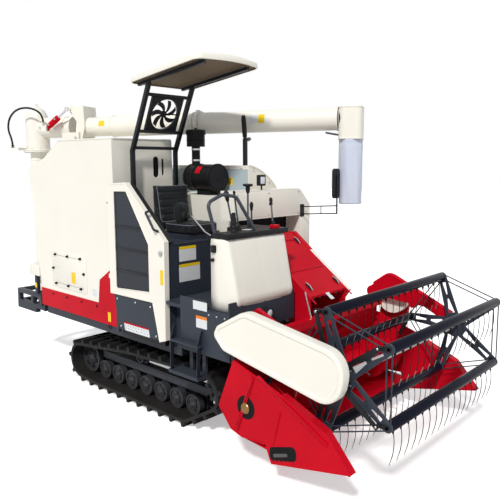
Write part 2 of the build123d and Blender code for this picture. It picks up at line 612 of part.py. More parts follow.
def thresher():
    """Threshing housing with its front hood, drum cover, side covers and straw hood."""
    x, y = THRESHER_X, THRESHER_Y
    chamfer_y, chamfer_z = 670, HOOD_TOP - THRESHER_TOP
    front = Plane(origin=(x[1], 0, 0), x_dir=(0, 1, 0), z_dir=(1, 0, 0))
    section = [(y[0], RAIL_Z[1]), (y[0], THRESHER_TOP), (chamfer_y, THRESHER_TOP), (y[1], THRESHER_TOP - 150), (y[1], 1000),
               (y[1] - 150, RAIL_Z[1])]
    body = extrude(front * make_face(Polyline(*section, close=True)), x[0] - x[1])
    hood_section = [(-250, HOOD_BOTTOM), (-250, HOOD_TOP), (chamfer_y, HOOD_TOP), (y[1], HOOD_TOP - 160), (y[1], 1466),
                    (chamfer_y + 4, 1466), (chamfer_y + 4, HOOD_BOTTOM)]
    hood = extrude(front * make_face(Polyline(*hood_section, close=True)), HOOD_X[1] - HOOD_X[0])
    arch = Pos(*DRUM_MID) * Circle(DRUM_R) & Pos(DRUM_WALL, THRESHER_TOP - 35) * Rectangle(
        DRUM_R, DRUM_R, align=(Align.MIN, Align.MIN))
    cover_front = Plane(origin=(DRUM_X[1], 0, 0), x_dir=(0, 1, 0), z_dir=(1, 0, 0))
    cover = extrude(cover_front * arch, DRUM_X[0] - DRUM_X[1])
    straw = [(x[0], 900), (x[0], 1900), (-2180, 1760), (-2470, 1300), (-2470, 1000), (-2330, 900)]
    hollow = [(x[0] - 30, 899), (x[0] - 30, 1870), (-2165, 1735), (-2440, 1290), (-2440, 1015), (-2320, 899)]
    hood_y = (y[0] + 30, y[1] - 40)
    add("straw_hood", side_plate(straw, hood_y) - side_plate(hollow, (hood_y[0] + 20, hood_y[1] - 20)))
    body = body + hood + cover
    for x0, x1, z0, z1 in ((-1850, -1000, 1050, 1780), (-960, 60, 1050, 1780), (100, 400, 1050, 1780)):
        panel = block((x0, x1), (y[1] - 2, y[1] + 30), (z0, z1))
        body += fillet(panel.edges().filter_by(Axis.Y), 40)
    body += block((x[1] - 30, x[1]), (LIFT_BRACKET_Y[0] - 20, y[0] + 2), (LIFT_Z - 110, LIFT_Z + 110))
    for side, near in zip((-1, 1), LIFT_BRACKET_Y):
        cheek = side_plate([(x[1] - 2, LIFT_Z - 100), (LIFT_X + 10, LIFT_Z - 50), (LIFT_X + 50, LIFT_Z), (LIFT_X + 10, LIFT_Z + 50),
                            (x[1] - 2, LIFT_Z + 100)], (near, near + side * 20))
        body += cheek - disc(LIFT_X, LIFT_Z, LIFT_SHAFT_R + PIN_GAP, (near - 30, near + 30))
    add("thresher_housing", body)
    post_x, post_y = REST
    crown = DRUM_MID[1] + sqrt(DRUM_R ** 2 - (post_y - 18 - DRUM_MID[0]) ** 2)
    arm = block((post_x - 18, post_x + 18), (post_y - 18, post_y + 18), (crown - 30, 2560))
    foot_cut = Pos(post_x, *DRUM_MID) * Rot(0, 90, 0) * Cylinder(DRUM_R + FIT, 200)
    across = Vector(-sin(radians(TUBE_ANGLE)), cos(radians(TUBE_ANGLE)), 0)
    top = Vector(post_x, post_y, 0)
    arm += bar((post_x, post_y, 2550), (post_x, post_y, 2800), 14, 46)
    low_end = top + across * 150
    arm += bar((post_x, post_y, 2545), (low_end.X, low_end.Y, 2560), 30, 30)
    add("rest_arm", arm - foot_cut)


def canopy():
    """Roof on two posts behind the seat, with the fan that hangs between them."""
    frame = None
    for py in POST_Y:
        points = [(POST_FOOT[0], py, POST_FOOT[1]), (POST_BEND[0], py, POST_BEND[1]), (POST_TOP[0], py, POST_TOP[1])]
        for a, b in zip(points, points[1:]):
            piece = bar(a, b, POST_SIZE, POST_SIZE)
            frame = piece if frame is None else frame + piece
        knee = Pos(POST_BEND[0], py, POST_BEND[1]) * Rot(90, 0, 0) * Cylinder(POST_SIZE / 2, POST_SIZE)
        frame += knee
        frame += block((POST_FOOT[0] - POST_SIZE / 2, BAY_X[0] + 60), (py - 18, py + 18), (POST_FOOT[1] - 20, POST_FOOT[1] + 20))

    def under(px):
        """Height of the roof's underside."""
        return ROOF_Z[0] + ROOF_SLOPE * (px - ROOF_X[0])

    for py in POST_Y:
        start, end = ROOF_X[0] + 60, ROOF_X[1] - 60
        frame += bar((start, py, under(start) - 15), (end, py, under(end) - 15), 30, 28)
    lean = ((POST_TOP[0] - POST_BEND[0]) / (POST_TOP[1] - POST_BEND[1]))

    def post_at(z):
        """Place of the leaning posts at a height."""
        return POST_BEND[0] + lean * (z - POST_BEND[1])

    for z in (POST_BEND[1] + 30, FAN_Z - FAN_R - 5, FAN_Z + FAN_R + 5):
        frame += bar((post_at(z), POST_Y[0], z), (post_at(z), POST_Y[1], z), 30, 30)

    roof = side_plate([(ROOF_X[0], ROOF_Z[0]), (ROOF_X[1], ROOF_Z[1]), (ROOF_X[1] - 12, ROOF_Z[1] + ROOF_DEPTH),
                       (ROOF_X[0] + 60, ROOF_Z[0] + ROOF_DEPTH)], ROOF_Y)
    add("canopy_roof", roof)

    tilt = degrees(atan2(POST_TOP[0] - POST_BEND[0], POST_TOP[1] - POST_BEND[1]))
    mid_y = (POST_Y[0] + POST_Y[1]) / 2
    plane = Plane(origin=(post_at(FAN_Z), mid_y, FAN_Z), x_dir=(0, 1, 0), z_dir=(cos(radians(tilt)), 0, -sin(radians(tilt))))
    ring = Rectangle(2 * FAN_R + 50, 2 * FAN_R + 12) - Circle(FAN_R - 8)
    shroud = extrude(plane * ring, 12, both=True)
    spider = Pos(0, 0, -10) * (Circle(34) + Rectangle(2 * FAN_R - 14, 12))
    shroud += extrude(plane * spider, -6)
    shroud += extrude(plane * (Pos(0, 0, -6 - FIT) * Circle(26)), -8)
    add("canopy_frame", frame + shroud)
    blades = Circle(32)
    for k in range(8):
        blades += Rot(0, 0, 45 * k) * Pos(FAN_R * 0.5 + 5, 0) * Rectangle(FAN_R * 0.85, 44)
    rotor = extrude(plane * (Pos(0, 0, -6) * (blades & Circle(FAN_R - 16))), 10)
    add("fan_rotor", rotor)


def intake():
    """Air cleaner over the engine, its neck, bowl and hose."""
    y, z, r = 72, 2171, 132
    x = (-325, 55)
    neck_x = -277
    drum = rod((x[0], y, z), (x[1], y, z), r)
    drum += rod((neck_x, y, z), (neck_x, y, 2482), 42)
    drum += block((-200, -20), (y - 60, y + 60), (THRESHER_TOP, z - r + 8))
    bowl = rod((neck_x, y, 2480), (neck_x, y, 2600), 92) + rod((neck_x, y, 2599), (neck_x, y, 2640), 100)
    bowl += rod((neck_x, y, 2639), (neck_x, y, 2668), 12)
    add("air_cleaner", drum + bowl)


def unloading_auger():
    """Fixed pipe at the rear, turning elbow, lifting tube with spout and sock, and the lift cylinder."""
    px, py = PIPE
    pipe = rod((px, py, REAR_Z[1]), (px, py, SWIVEL_Z - FIT), PIPE_R)
    pipe += rod((px, py, SWIVEL_Z - 24), (px, py, SWIVEL_Z - FIT), 132)
    pipe += block((px, TANK_OUTLINE[0][0]), (py - 60, py + 60), (RAIL_Z[1] + 35, RAIL_Z[1] + 160))
    add("auger_pipe", pipe)

    turn = Plane(origin=(px, py, 0), x_dir=(cos(radians(TUBE_ANGLE)), sin(radians(TUBE_ANGLE)), 0), z_dir=(0, 0, 1))

    def at(s, side, z):
        return tuple(turn.from_local_coords(Vector(s, side, z)))

    elbow = rod((px, py, SWIVEL_Z), (px, py, SWIVEL_Z + 24), 132)
    elbow += rod((px, py, SWIVEL_Z), (px, py, TUBE_Z + 60), 128)
    hinge_s, hinge_z = TUBE_HINGE
    elbow += rod(at(0, 0, TUBE_Z), at(490, 0, TUBE_Z), TUBE_R + 4)
    elbow += turn.location * block((430, 640), (-150, -126), (hinge_z - 40, hinge_z + 60))
    elbow += turn.location * block((430, 640), (126, 150), (hinge_z - 40, hinge_z + 60))
    for side in (-1, 1):
        elbow += turn.location * block((430, 500), (side * 90, side * 150), (hinge_z - 30, hinge_z + 60))
    for side in (-1, 1):
        elbow -= rod(at(hinge_s, side * 100, hinge_z), at(hinge_s, side * 180, hinge_z), 12 + PIN_GAP)
    pin_r = 10
    reach = TUBE_CYLINDER_Y - TUBE_BORE[0] - 29
    elbow += rod(at(TUBE_BASE[0], -100, TUBE_BASE[1]), at(TUBE_BASE[0], reach, TUBE_BASE[1]), pin_r)
    cheek_y = (TUBE_CYLINDER_Y - TUBE_BORE[0] - 5, TUBE_CYLINDER_Y - TUBE_BORE[0] - 29)
    elbow += turn.location * block((TUBE_BASE[0] - 28, TUBE_BASE[0] + 28), cheek_y, (TUBE_BASE[1] - 28, TUBE_BASE[1] + 28))
    elbow += turn.location * block((-192, -80), (HOSE_SIDE - 20, -95), (SWIVEL_Z + 4, SWIVEL_Z + 30))
    add("auger_elbow", elbow)

    def axis(s):
        """Middle of the tube at a distance from the turning axis."""
        return at(s, 0, TUBE_Z + TUBE_RISE * (s - TUBE_START) / (TUBE_END - TUBE_START))

    tube = rod(axis(TUBE_START), axis(1400), TUBE_R - 8)
    tube += rod(axis(1000), axis(TUBE_END), TUBE_R)
    tube += rod(axis(1995), axis(2025), TUBE_R + 22)
    for side in (-1, 1):
        cheek = turn.location * side_plate([(575, hinge_z - 22), (660, hinge_z - 22), (700, TUBE_Z), (690, 2935), (520, 2935),
                                            (520, 2875), (600, 2770)], (side * 122, side * 100))
        cheek += rod(at(hinge_s, side * 105, hinge_z), at(hinge_s, side * 150, hinge_z), 12)
        tube += cheek
    tube += turn.location * block((525, 688), (-101, 101), (2915, 2935))
    tube += turn.location * block((650, 690), (-101, 101), (2700, 2920))
    half, wall = SPOUT_HALF, SPOUT_WALL
    low, high = (TUBE_Z + z for z in SPOUT_HEIGHT)
    spout = block((SPOUT_AT - half, SPOUT_AT + half), (-half, half), (low, high))
    spout = fillet(spout.edges().filter_by(Axis.Z), SPOUT_ROUND)
    spout -= offset(spout, -wall, kind=Kind.INTERSECTION) + rod((SPOUT_AT, 0, low - 1), (SPOUT_AT, 0, TUBE_Z), SOCK_R - 12)
    spout += rod((SPOUT_AT, 0, low - 70), (SPOUT_AT, 0, low + 4), SOCK_R - 4 - FIT)
    spout -= rod((SPOUT_AT, 0, low - 71), (SPOUT_AT, 0, low + 12), SOCK_R - 12)
    spout -= rod((SPOUT_AT - half - 5, 0, TUBE_Z + TUBE_RISE), (SPOUT_AT, 0, TUBE_Z + TUBE_RISE), TUBE_R - wall)
    tube = tube + turn.location * spout
    tube += rod(at(TUBE_EYE[0], -101, TUBE_EYE[1]), at(TUBE_EYE[0], TUBE_CYLINDER_Y - 15, TUBE_EYE[1]), pin_r)
    add("unload_tube", tube)

    spout = at(SPOUT_AT, 0, 0)
    sock = Pos(spout[0], spout[1], 0) * extrude(Pos(0, 0, SOCK_Z[0]) * (Circle(SOCK_R) - Circle(SOCK_R - 4)), SOCK_Z[1] - SOCK_Z[0])
    add("sock", sock)

    barrel, ram = cylinder_pair(TUBE_BASE, TUBE_EYE, TUBE_CYLINDER_Y, TUBE_BORE, TUBE_LENGTHS, pin_r, pin_r + 5)
    add("tube_lift_barrel", turn.location * barrel)
    add("tube_lift_rod", turn.location * ram)

    side = HOSE_SIDE
    low, high = SWIVEL_Z + 30, TUBE_BASE[1] + 28
    route = [(-170, side, low + FIT), (-170, side, 2565), (-225, side - 2, 2690), (-190, side - 6, 2825),
             (-80, side - 9, 2912), (70, side - 9, 2925), (200, side - 6, 2880), (250, side - 2, 2800), (250, side - 2, high + FIT)]
    path = FilletPolyline(*[at(*p) for p in route], radius=[
        hose_radius(route, i) for i in range(1, len(route) - 1)])
    hose = sweep(Plane(origin=path @ 0, z_dir=path % 0) * Circle(HOSE_R), path=path)
    add("lift_hose", hose)


def hose_radius(points, i):
    """Largest arc that two runs of a hose leave room for at a point."""
    a, b, c = (Vector(*points[k]) for k in (i - 1, i, i + 1))
    half_turn = radians((b - a).get_angle(c - b)) / 2
    return 0.45 * min((b - a).length, (c - b).length) / tan(half_turn)


def cylinder_pair(base, eye, y, radii, lengths, base_pin, eye_bore):
    """Barrel on its base pin and rod with its eye, both in the plane Y = y."""
    (bx, bz), (ex, ez) = base, eye
    far = hypot(ex - bx, ez - bz)
    ux, uz = (ex - bx) / far, (ez - bz) / far
    outer, inner = radii
    barrel_len, rod_len = lengths
    ring = outer + 3
    wide = (y - outer * 0.6, y + outer * 0.6)

    def along(distance):
        return (bx + ux * distance, y, bz + uz * distance)

    barrel = rod(along(0), along(barrel_len), outer) + disc(bx, bz, ring, wide)
    barrel -= rod(along(ring + 4), along(barrel_len + 1), inner + PIN_GAP)
    barrel -= disc(bx, bz, base_pin + PIN_GAP, (y - 2 * outer, y + 2 * outer))
    eye_ring = eye_bore + 8
    ram = rod(along(far - rod_len), along(far - eye_bore - 2), inner) + disc(ex, ez, eye_ring, wide)
    ram -= disc(ex, ez, eye_bore, (y - 2 * outer, y + 2 * outer))
    return barrel, ram


def feeder_point(along, up):
    """A point of the feeder house from the lift axis, along its length and up from its middle."""
    a = radians(FEEDER_SLOPE)
    return (LIFT_X + along * cos(a) + up * sin(a), LIFT_Z - along * sin(a) + up * cos(a))


def header():
    """Feeder house, platform with side plates and dividers, knife and cross auger."""
    h, long = FEEDER_HALF, FEEDER_LENGTH
    half, t = HEADER_HALF, HEADER_PLATE
    wall = [(1164, 479), (1326, 869), (1330, 960), (1342, 960), (1342, 865), (1180, 470)]
    house = side_plate([feeder_point(0, -h), feeder_point(long + 200, -h), feeder_point(long + 200, h),
                        feeder_point(0, h)], FEEDER_Y)
    house += disc(LIFT_X, LIFT_Z, h, FEEDER_Y)
    inner = (FEEDER_Y[0] + 16, FEEDER_Y[1] - 16)
    tunnel = [feeder_point(60, -h + 14), feeder_point(long + 260, -h + 14), feeder_point(long + 260, h - 14),
              feeder_point(60, h - 14)]
    house -= side_plate(tunnel, inner)
    ahead = [wall[0], wall[1], wall[2], (1330, 1400), (2000, 1400), (2000, 200), (1164, 200)]
    house -= side_plate(ahead, (-half, half))
    house += disc(LIFT_X, LIFT_Z, LIFT_SHAFT_R, (LIFT_BRACKET_Y[0] - 20, LIFT_BRACKET_Y[1] + 20))
    eye = feeder_point(LIFT_EYE_ALONG, -h - LIFT_EYE_DROP)
    for side in (-1, 1):
        near = LIFT_CYLINDER_Y + side * (LIFT_BORE[0] * 0.6 + 3)
        lug = side_plate([feeder_point(LIFT_EYE_ALONG - 40, -h + 1), (eye[0] - 18, eye[1] - 12), (eye[0] + 14, eye[1] - 18),
                          feeder_point(LIFT_EYE_ALONG + 40, -h + 1)], (near, near + side * 10))
        house += lug
    house += disc(eye[0], eye[1], LIFT_PIN_R, (LIFT_CYLINDER_Y - 20, LIFT_CYLINDER_Y + 20))
    add("feeder_house", house)

    inside = (-half + t - 1, half - t + 1)
    upper = (-half + 40, half - 40)
    frame = side_plate([wall[0], wall[1], wall[4], wall[5]], inside) + side_plate([wall[1], wall[2], wall[3], wall[4]], upper)
    frame -= side_plate(tunnel, inner)
    pan = [wall[0], (1300, 330), (1440, 290), (1690, 270), (1690, 282), (1442, 302), (1308, 342), (1180, 484)]
    frame += side_plate(pan, inside)
    frame += block((1330, 1400), upper, (955, 1020))
    edge = [wall[1], wall[0], (1300, 330), (1416, 301), (1656, 317), (1704, 190), (2378, 341), (2177, 565), (1794, 724)]
    wedge = [(1640, 330), (1704, 190), (2378, 341), (2177, 565), (1794, 724), (1700, 650)]
    for side in (-1, 1):
        plate = side_plate(edge, (side * (half - t), side * half))
        plate -= disc(AUGER_X, AUGER_Z, AUGER_SHAFT_R + PIN_GAP, (-half - 1, half + 1))
        plate += side_plate(wedge, (side * (half - WEDGE), side * half))
        post = block((ARM_X - 35, ARM_X + 60), (side * (half - 65), side * (half - 40)), (1000, ARM_Z + 35))
        post += block((1326, 1341), (side * (half - 42), side * (half - t + 1)), (800, 868))
        post += disc(ARM_X, ARM_Z, ARM_PIN_R, (side * (half - 45), side * (ARM_Y - ARM_THICK / 2)))
        plate += disc(REEL_BASE[0], REEL_BASE[1], REEL_PIN_R, (side * (half - t + 1), side * (REEL_CYLINDER_Y - 15)))
        frame += plate + post
    add("header_frame", frame)

    width = half - WEDGE - FIT
    knife = block((1690, 1712), (-width, width), (262, 284))
    for k in range(GUARDS):
        gy = (k - (GUARDS - 1) / 2) * GUARD_PITCH
        finger = make_face(Polyline((-2, -16), (GUARD_LENGTH, -3), (GUARD_LENGTH, 3), (-2, 16), close=True))
        knife += extrude(Plane.XY.offset(266) * (Pos(1712, gy) * finger), 14)
    add("knife_bar", knife)

    end = half - t - 12
    auger = disc(AUGER_X, AUGER_Z, AUGER_TUBE_R, (-end, end))
    for k in range(7):
        y0 = -half + 80 + k * 118
        auger += disc(AUGER_X, AUGER_Z, AUGER_R, (y0, y0 + 6))
        if -y0 > FEEDER_Y[1] + 40:
            auger += disc(AUGER_X, AUGER_Z, AUGER_R, (-y0 - 6, -y0))
    auger += disc(AUGER_X, AUGER_Z, AUGER_SHAFT_R, (-half - 20, half + 20))
    add("header_auger", auger)

    guard_y = (half + 22, half + 58)
    guard = side_plate([(1347, 1050), (1663, 1050), (1580, AUGER_Z), (1338, AUGER_Z)], guard_y)
    guard += disc(1505, 1050, 158, (half - 40, half + 58))
    guard += disc(AUGER_X, AUGER_Z, 121, guard_y)
    case = side_plate([feeder_point(-30, 40), feeder_point(long - 60, 60), feeder_point(long - 60, h - 10),
                       feeder_point(-30, h + 10)], (FEEDER_Y[1], FEEDER_Y[1] + 50))
    case -= disc(LIFT_X, LIFT_Z, LIFT_SHAFT_R + PIN_GAP, (FEEDER_Y[1] - 1, FEEDER_Y[1] + 51))
    add("drive_covers", Compound([guard, case]))


def reel():
    """Arms, chain cover, stars, control star and the bats with their tines."""
    arm_y = (-ARM_Y - ARM_THICK / 2, -ARM_Y + ARM_THICK / 2)
    eye = reel_eye()
    arm = side_plate([(ARM_X - 25, ARM_Z + 44), (ARM_X + 180, ARM_Z + 190), (REEL_X - 60, REEL_Z + 75), (REEL_X + 35, REEL_Z + 32),
                      (REEL_X - 40, REEL_Z - 38), (REEL_X - 324, REEL_Z + 100), (ARM_X + 60, ARM_Z - 36), (ARM_X - 10, ARM_Z - 40)],
                     arm_y)
    arm += disc(ARM_X, ARM_Z, 55, arm_y) + disc(REEL_X, REEL_Z, 48, arm_y)
    arm += side_plate([(eye[0] - 80, eye[1] + 70), (eye[0] - 20, eye[1] - 12), (eye[0] + 20, eye[1] - 12),
                       (eye[0] + 80, eye[1] + 60)], arm_y)
    arm -= disc(ARM_X, ARM_Z, ARM_PIN_R + PIN_GAP, (arm_y[0] - 1, arm_y[1] + 1))
    arm -= disc(REEL_X, REEL_Z, REEL_SHAFT_R + PIN_GAP, (arm_y[0] - 1, arm_y[1] + 1))
    arm += disc(eye[0], eye[1], REEL_PIN_R, (-REEL_CYLINDER_Y - 13, arm_y[0] + 1))
    left = other_side(arm)
    cy, cz = REEL_X - CRANK, REEL_Z
    ring_y = (arm_y[1], arm_y[1] + 14)
    eccentric = disc(cy, cz, 100, ring_y) - disc(REEL_X, REEL_Z, REEL_SHAFT_R + PIN_GAP, (ring_y[0] - 1, ring_y[1] + 1))
    cover = [(ARM_X - 46, ARM_Z - 141), (ARM_X - 152, ARM_Z - 39), (ARM_X - 107, ARM_Z + 37), (ARM_X + 167, ARM_Z + 189),
             (REEL_X + 130, REEL_Z + 218), (REEL_X + 226, REEL_Z + 90), (REEL_X + 181, REEL_Z - 70), (REEL_X - 29, REEL_Z - 137)]
    case = side_plate(cover, COVER_Y, 40)
    case += disc(REEL_X, REEL_Z, 60, (COVER_Y[1] - 1, arm_y[0]))
    case -= disc(REEL_X, REEL_Z, REEL_SHAFT_R + PIN_GAP, (-ARM_Y - 70, arm_y[0] + 1))
    add("reel_arms", Compound([arm + eccentric, left]))
    add("chain_cover", case)

    hub, tip = 62, 34
    star_face = Circle(hub)
    for k in range(BATS):
        a = BAT_START + k * 72
        arm_shape = make_face(Polyline((20, -60), (REEL_R, -tip), (REEL_R, tip), (20, 60), close=True))
        hole = make_face(Polyline((110, -26), (REEL_R - 70, -10), (REEL_R - 70, 10), (110, 26), close=True))
        star_face += Rot(0, 0, a) * (arm_shape + Pos(REEL_R, 0) * Circle(tip) - hole)
    for k in range(BATS):
        a = BAT_START + k * 72
        star_face -= Rot(0, 0, a) * Pos(REEL_R, 0) * Circle(12 + PIN_GAP)
    star_face = Pos(REEL_X, REEL_Z) * star_face
    right = extrude(Plane.XZ.offset(-REEL_Y[0] - 7) * star_face, 14)
    leftstar = extrude(Plane.XZ.offset(-REEL_Y[1] - 7) * star_face, 14)
    shaft = disc(REEL_X, REEL_Z, REEL_SHAFT_R, (-ARM_Y - 55, ARM_Y + 22))
    add("reel_stars", right + leftstar + shaft)

    control = Circle(128) - Circle(100 + PIN_GAP)
    for k in range(BATS):
        a = BAT_START + k * 72
        blade = make_face(Polyline((110, -20), (REEL_R, -15), (REEL_R, 15), (110, 20), close=True))
        control += Rot(0, 0, a) * (blade + Pos(REEL_R, 0) * Circle(18)) - Circle(100 + PIN_GAP)
    for k in range(BATS):
        control -= Rot(0, 0, BAT_START + k * 72) * Pos(REEL_R, 0) * Circle(8 + PIN_GAP)
    control = Pos(cy, cz) * control
    add("control_star", extrude(Plane.XZ.offset(-ring_y[1] + 2) * control, 10))

    inner = (REEL_Y[0] + 9, REEL_Y[1] - 9)
    for k in range(BATS):
        a = radians(BAT_START + k * 72)
        bx, bz = REEL_X + REEL_R * cos(a), REEL_Z + REEL_R * sin(a)
        bat = disc(bx, bz, BAT_R, inner)
        crank_y = (REEL_Y[0] - 9 - 8, REEL_Y[0] - 9)
        bat += disc(bx, bz, 12, (crank_y[0], REEL_Y[1] + 15))
        crank = side_plate([(bx + 14, bz - 16), (bx + 14, bz + 16), (bx - CRANK - 14, bz + 13), (bx - CRANK - 14, bz - 13)],
                           crank_y)
        bat += crank
        bat += disc(bx - CRANK, bz, 8, (ring_y[0] + 1, crank_y[1]))
        for n in range(TINES):
            ty = (inner[0] + inner[1]) / 2 + (n - (TINES - 1) / 2) * TINE_PITCH
            drop = bz - BAT_R + 3
            spine = [(0, 0), (9, -TINE_LENGTH * 0.35), (4, -TINE_LENGTH * 0.72), (-14, -TINE_LENGTH)]
            outline = [(bx + dx - 3, drop + dz) for dx, dz in spine] + [(bx + dx + 3, drop + dz) for dx, dz in spine[::-1]]
            bat += side_plate(outline, (ty - 3, ty + 3))
        add("bat_%d" % (k + 1), bat)


def reel_eye():
    """Pin of the reel's lift cylinders on the arms."""
    share = REEL_EYE_ALONG / hypot(REEL_X - ARM_X, REEL_Z - ARM_Z)
    return (ARM_X + share * (REEL_X - ARM_X), ARM_Z + share * (REEL_Z - ARM_Z))


def lift_cylinders():
    """Cylinder under the feeder house and the pair beside the reel arms."""
    eye = feeder_point(LIFT_EYE_ALONG, -FEEDER_HALF - LIFT_EYE_DROP)
    barrel, ram = cylinder_pair(LIFT_BASE, eye, LIFT_CYLINDER_Y, LIFT_BORE, LIFT_LENGTHS, LIFT_PIN_R, LIFT_PIN_R + 3)
    add("header_lift_barrel", barrel)
    add("header_lift_rod", ram)
    barrel, ram = cylinder_pair(REEL_BASE, reel_eye(), -REEL_CYLINDER_Y, REEL_BORE, REEL_LENGTHS, REEL_PIN_R, REEL_PIN_R + 3)
    add("reel_lift_barrels", Compound([barrel, other_side(barrel)]))
    add("reel_lift_rods", Compound([ram, other_side(ram)]))


def mirror_and_lamps():
    """Mirror on its arm, work lamp, front lamp and rear lamp."""
    arm = None
    for z in (1880, 1805):
        piece = rod((HOOD_X[1] + 5, 700, z), (960, 800, z + 20), 6)
        arm = piece if arm is None else arm + piece
    arm += rod((960, 800, 1822), (960, 800, 2120), 8)
    arm += block((HOOD_X[1], HOOD_X[1] + 8), (670, 730), (1780, 1905))
    glass = Pos(946, 800, 2020) * Box(16, 120, 210)
    glass = fillet(glass.edges().filter_by(Axis.X), 30)
    add("mirror", arm + glass)
    lamp = block((540, 590), (100, 180), (2110, 2200)) + rod((565, 140, HOOD_TOP), (565, 140, 2112), 8)
    front = rod((FLOOR_X[1], -480, 1110), (FLOOR_X[1] + 45, -480, 1110), 45)
    add("lamps", Compound([lamp, front]))


chassis(undercarriage())
grain_tank()
engine_bay(radiator_door())
seat()
operator_place()
thresher()
canopy()
intake()
unloading_auger()
header()
reel()
lift_cylinders()
mirror_and_lamps()

os.makedirs("parts", exist_ok=True)
for node, shape in NODES.items():
    export_step(shape, "parts/" + node + ".step")
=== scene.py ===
"""Small tracked combine harvester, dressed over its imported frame. Metres, +X forward, +Y its left, +Z up."""
from math import atan2, cos, hypot, pi, radians, sin

import bmesh
import bpy
import numpy as np
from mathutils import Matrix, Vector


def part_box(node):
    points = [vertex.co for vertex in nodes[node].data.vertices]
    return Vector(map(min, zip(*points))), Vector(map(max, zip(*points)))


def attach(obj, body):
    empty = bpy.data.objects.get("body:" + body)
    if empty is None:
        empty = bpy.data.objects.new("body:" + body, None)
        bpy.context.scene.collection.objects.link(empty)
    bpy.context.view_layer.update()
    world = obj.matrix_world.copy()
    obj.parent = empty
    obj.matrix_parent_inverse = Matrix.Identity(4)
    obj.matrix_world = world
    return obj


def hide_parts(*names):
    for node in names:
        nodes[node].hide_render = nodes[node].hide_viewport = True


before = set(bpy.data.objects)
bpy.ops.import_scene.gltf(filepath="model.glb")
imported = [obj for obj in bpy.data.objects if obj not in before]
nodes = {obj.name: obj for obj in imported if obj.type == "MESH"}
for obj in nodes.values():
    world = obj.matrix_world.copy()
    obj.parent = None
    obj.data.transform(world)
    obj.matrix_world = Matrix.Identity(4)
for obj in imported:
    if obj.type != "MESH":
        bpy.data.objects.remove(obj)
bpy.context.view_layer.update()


def into_scene(name, data):
    """A new object, linked to the scene."""
    made = bpy.data.objects.new(name, data)
    scene.collection.objects.link(made)
    return made


def node(tree, kind, *inputs, **settings):
    """A new shader node. inputs are pairs of a socket and its value, or the output that is linked to it."""
    made = tree.nodes.new("ShaderNode" + kind)
    for name, value in settings.items():
        setattr(made, name, value)
    for socket, value in inputs:
        if isinstance(value, bpy.types.NodeSocket):
            tree.links.new(value, made.inputs[socket])
        else:
            made.inputs[socket].default_value = value
    return made


# Studio
# Pale floor and sky, one soft sun, and the camera at the photograph's place, 2.3 m up, ahead and to the
# right of the header. Rays that go straight to the sky see it white; only the light it gives is the dimmer,
# bluish one.
scene = bpy.context.scene
scene.view_settings.view_transform = "Standard"

eye = bpy.data.cameras.new("eye")
eye.sensor_width = 36
eye.lens = 43.115
eye.shift_x, eye.shift_y = -0.0472, -0.0207
eye.clip_end = 200
camera = into_scene("eye", eye)
camera.location = (4.3909, -3.9999, 2.3196)
looks_down, looks_round = radians(7.332), 0.72583
camera.rotation_euler = (pi / 2 - looks_down, 0, looks_round)
scene.camera = camera

sun = into_scene("sun", bpy.data.lights.new("sun", "SUN"))
sun.data.energy = 2.9
sun.data.angle = radians(6)
sun.data.color = (1.0, 0.98, 0.95)
sun.rotation_euler = (radians(46), 0, radians(28))

sky = bpy.data.worlds.new("sky")
scene.world = sky
sky.use_nodes = True
tree = sky.node_tree
tree.nodes.clear()
light = node(tree, "LightPath")
seen = light.outputs["Is Camera Ray"]
for ray in ("Is Glossy Ray", "Is Transmission Ray"):
    seen = node(tree, "Math", (0, seen), (1, light.outputs[ray]), operation="MAXIMUM").outputs[0]
giving = node(tree, "Background", ("Color", (0.93, 0.96, 1.0, 1)), ("Strength", 0.42))
shown = node(tree, "Background", ("Color", (1, 1, 1, 1)))
mixed = node(tree, "MixShader", (0, seen), (1, giving.outputs[0]), (2, shown.outputs[0]))
node(tree, "OutputWorld", ("Surface", mixed.outputs[0]))

floor_mesh = bpy.data.meshes.new("floor")
floor_mesh.from_pydata([(-40, -40, 0), (40, -40, 0), (40, 40, 0), (-40, 40, 0)], [], [(0, 1, 2, 3)])
floor = into_scene("floor", floor_mesh)
pale = bpy.data.materials.new("pale_floor")
pale.use_nodes = True
tree = pale.node_tree
bsdf = tree.nodes["Principled BSDF"]
bsdf.inputs["Base Color"].default_value = (0.9, 0.9, 0.9, 1)
bsdf.inputs["Roughness"].default_value = 0.9
gain = node(tree, "Math", (0, node(tree, "LightPath").outputs["Is Camera Ray"]), (1, 0.42),
            operation="MULTIPLY")
glow = node(tree, "Emission", ("Strength", gain.outputs[0]))
both = node(tree, "AddShader", (0, bsdf.outputs[0]), (1, glow.outputs[0]))
tree.links.new(both.outputs[0], tree.nodes["Material Output"].inputs["Surface"])
floor_mesh.materials.append(pale)


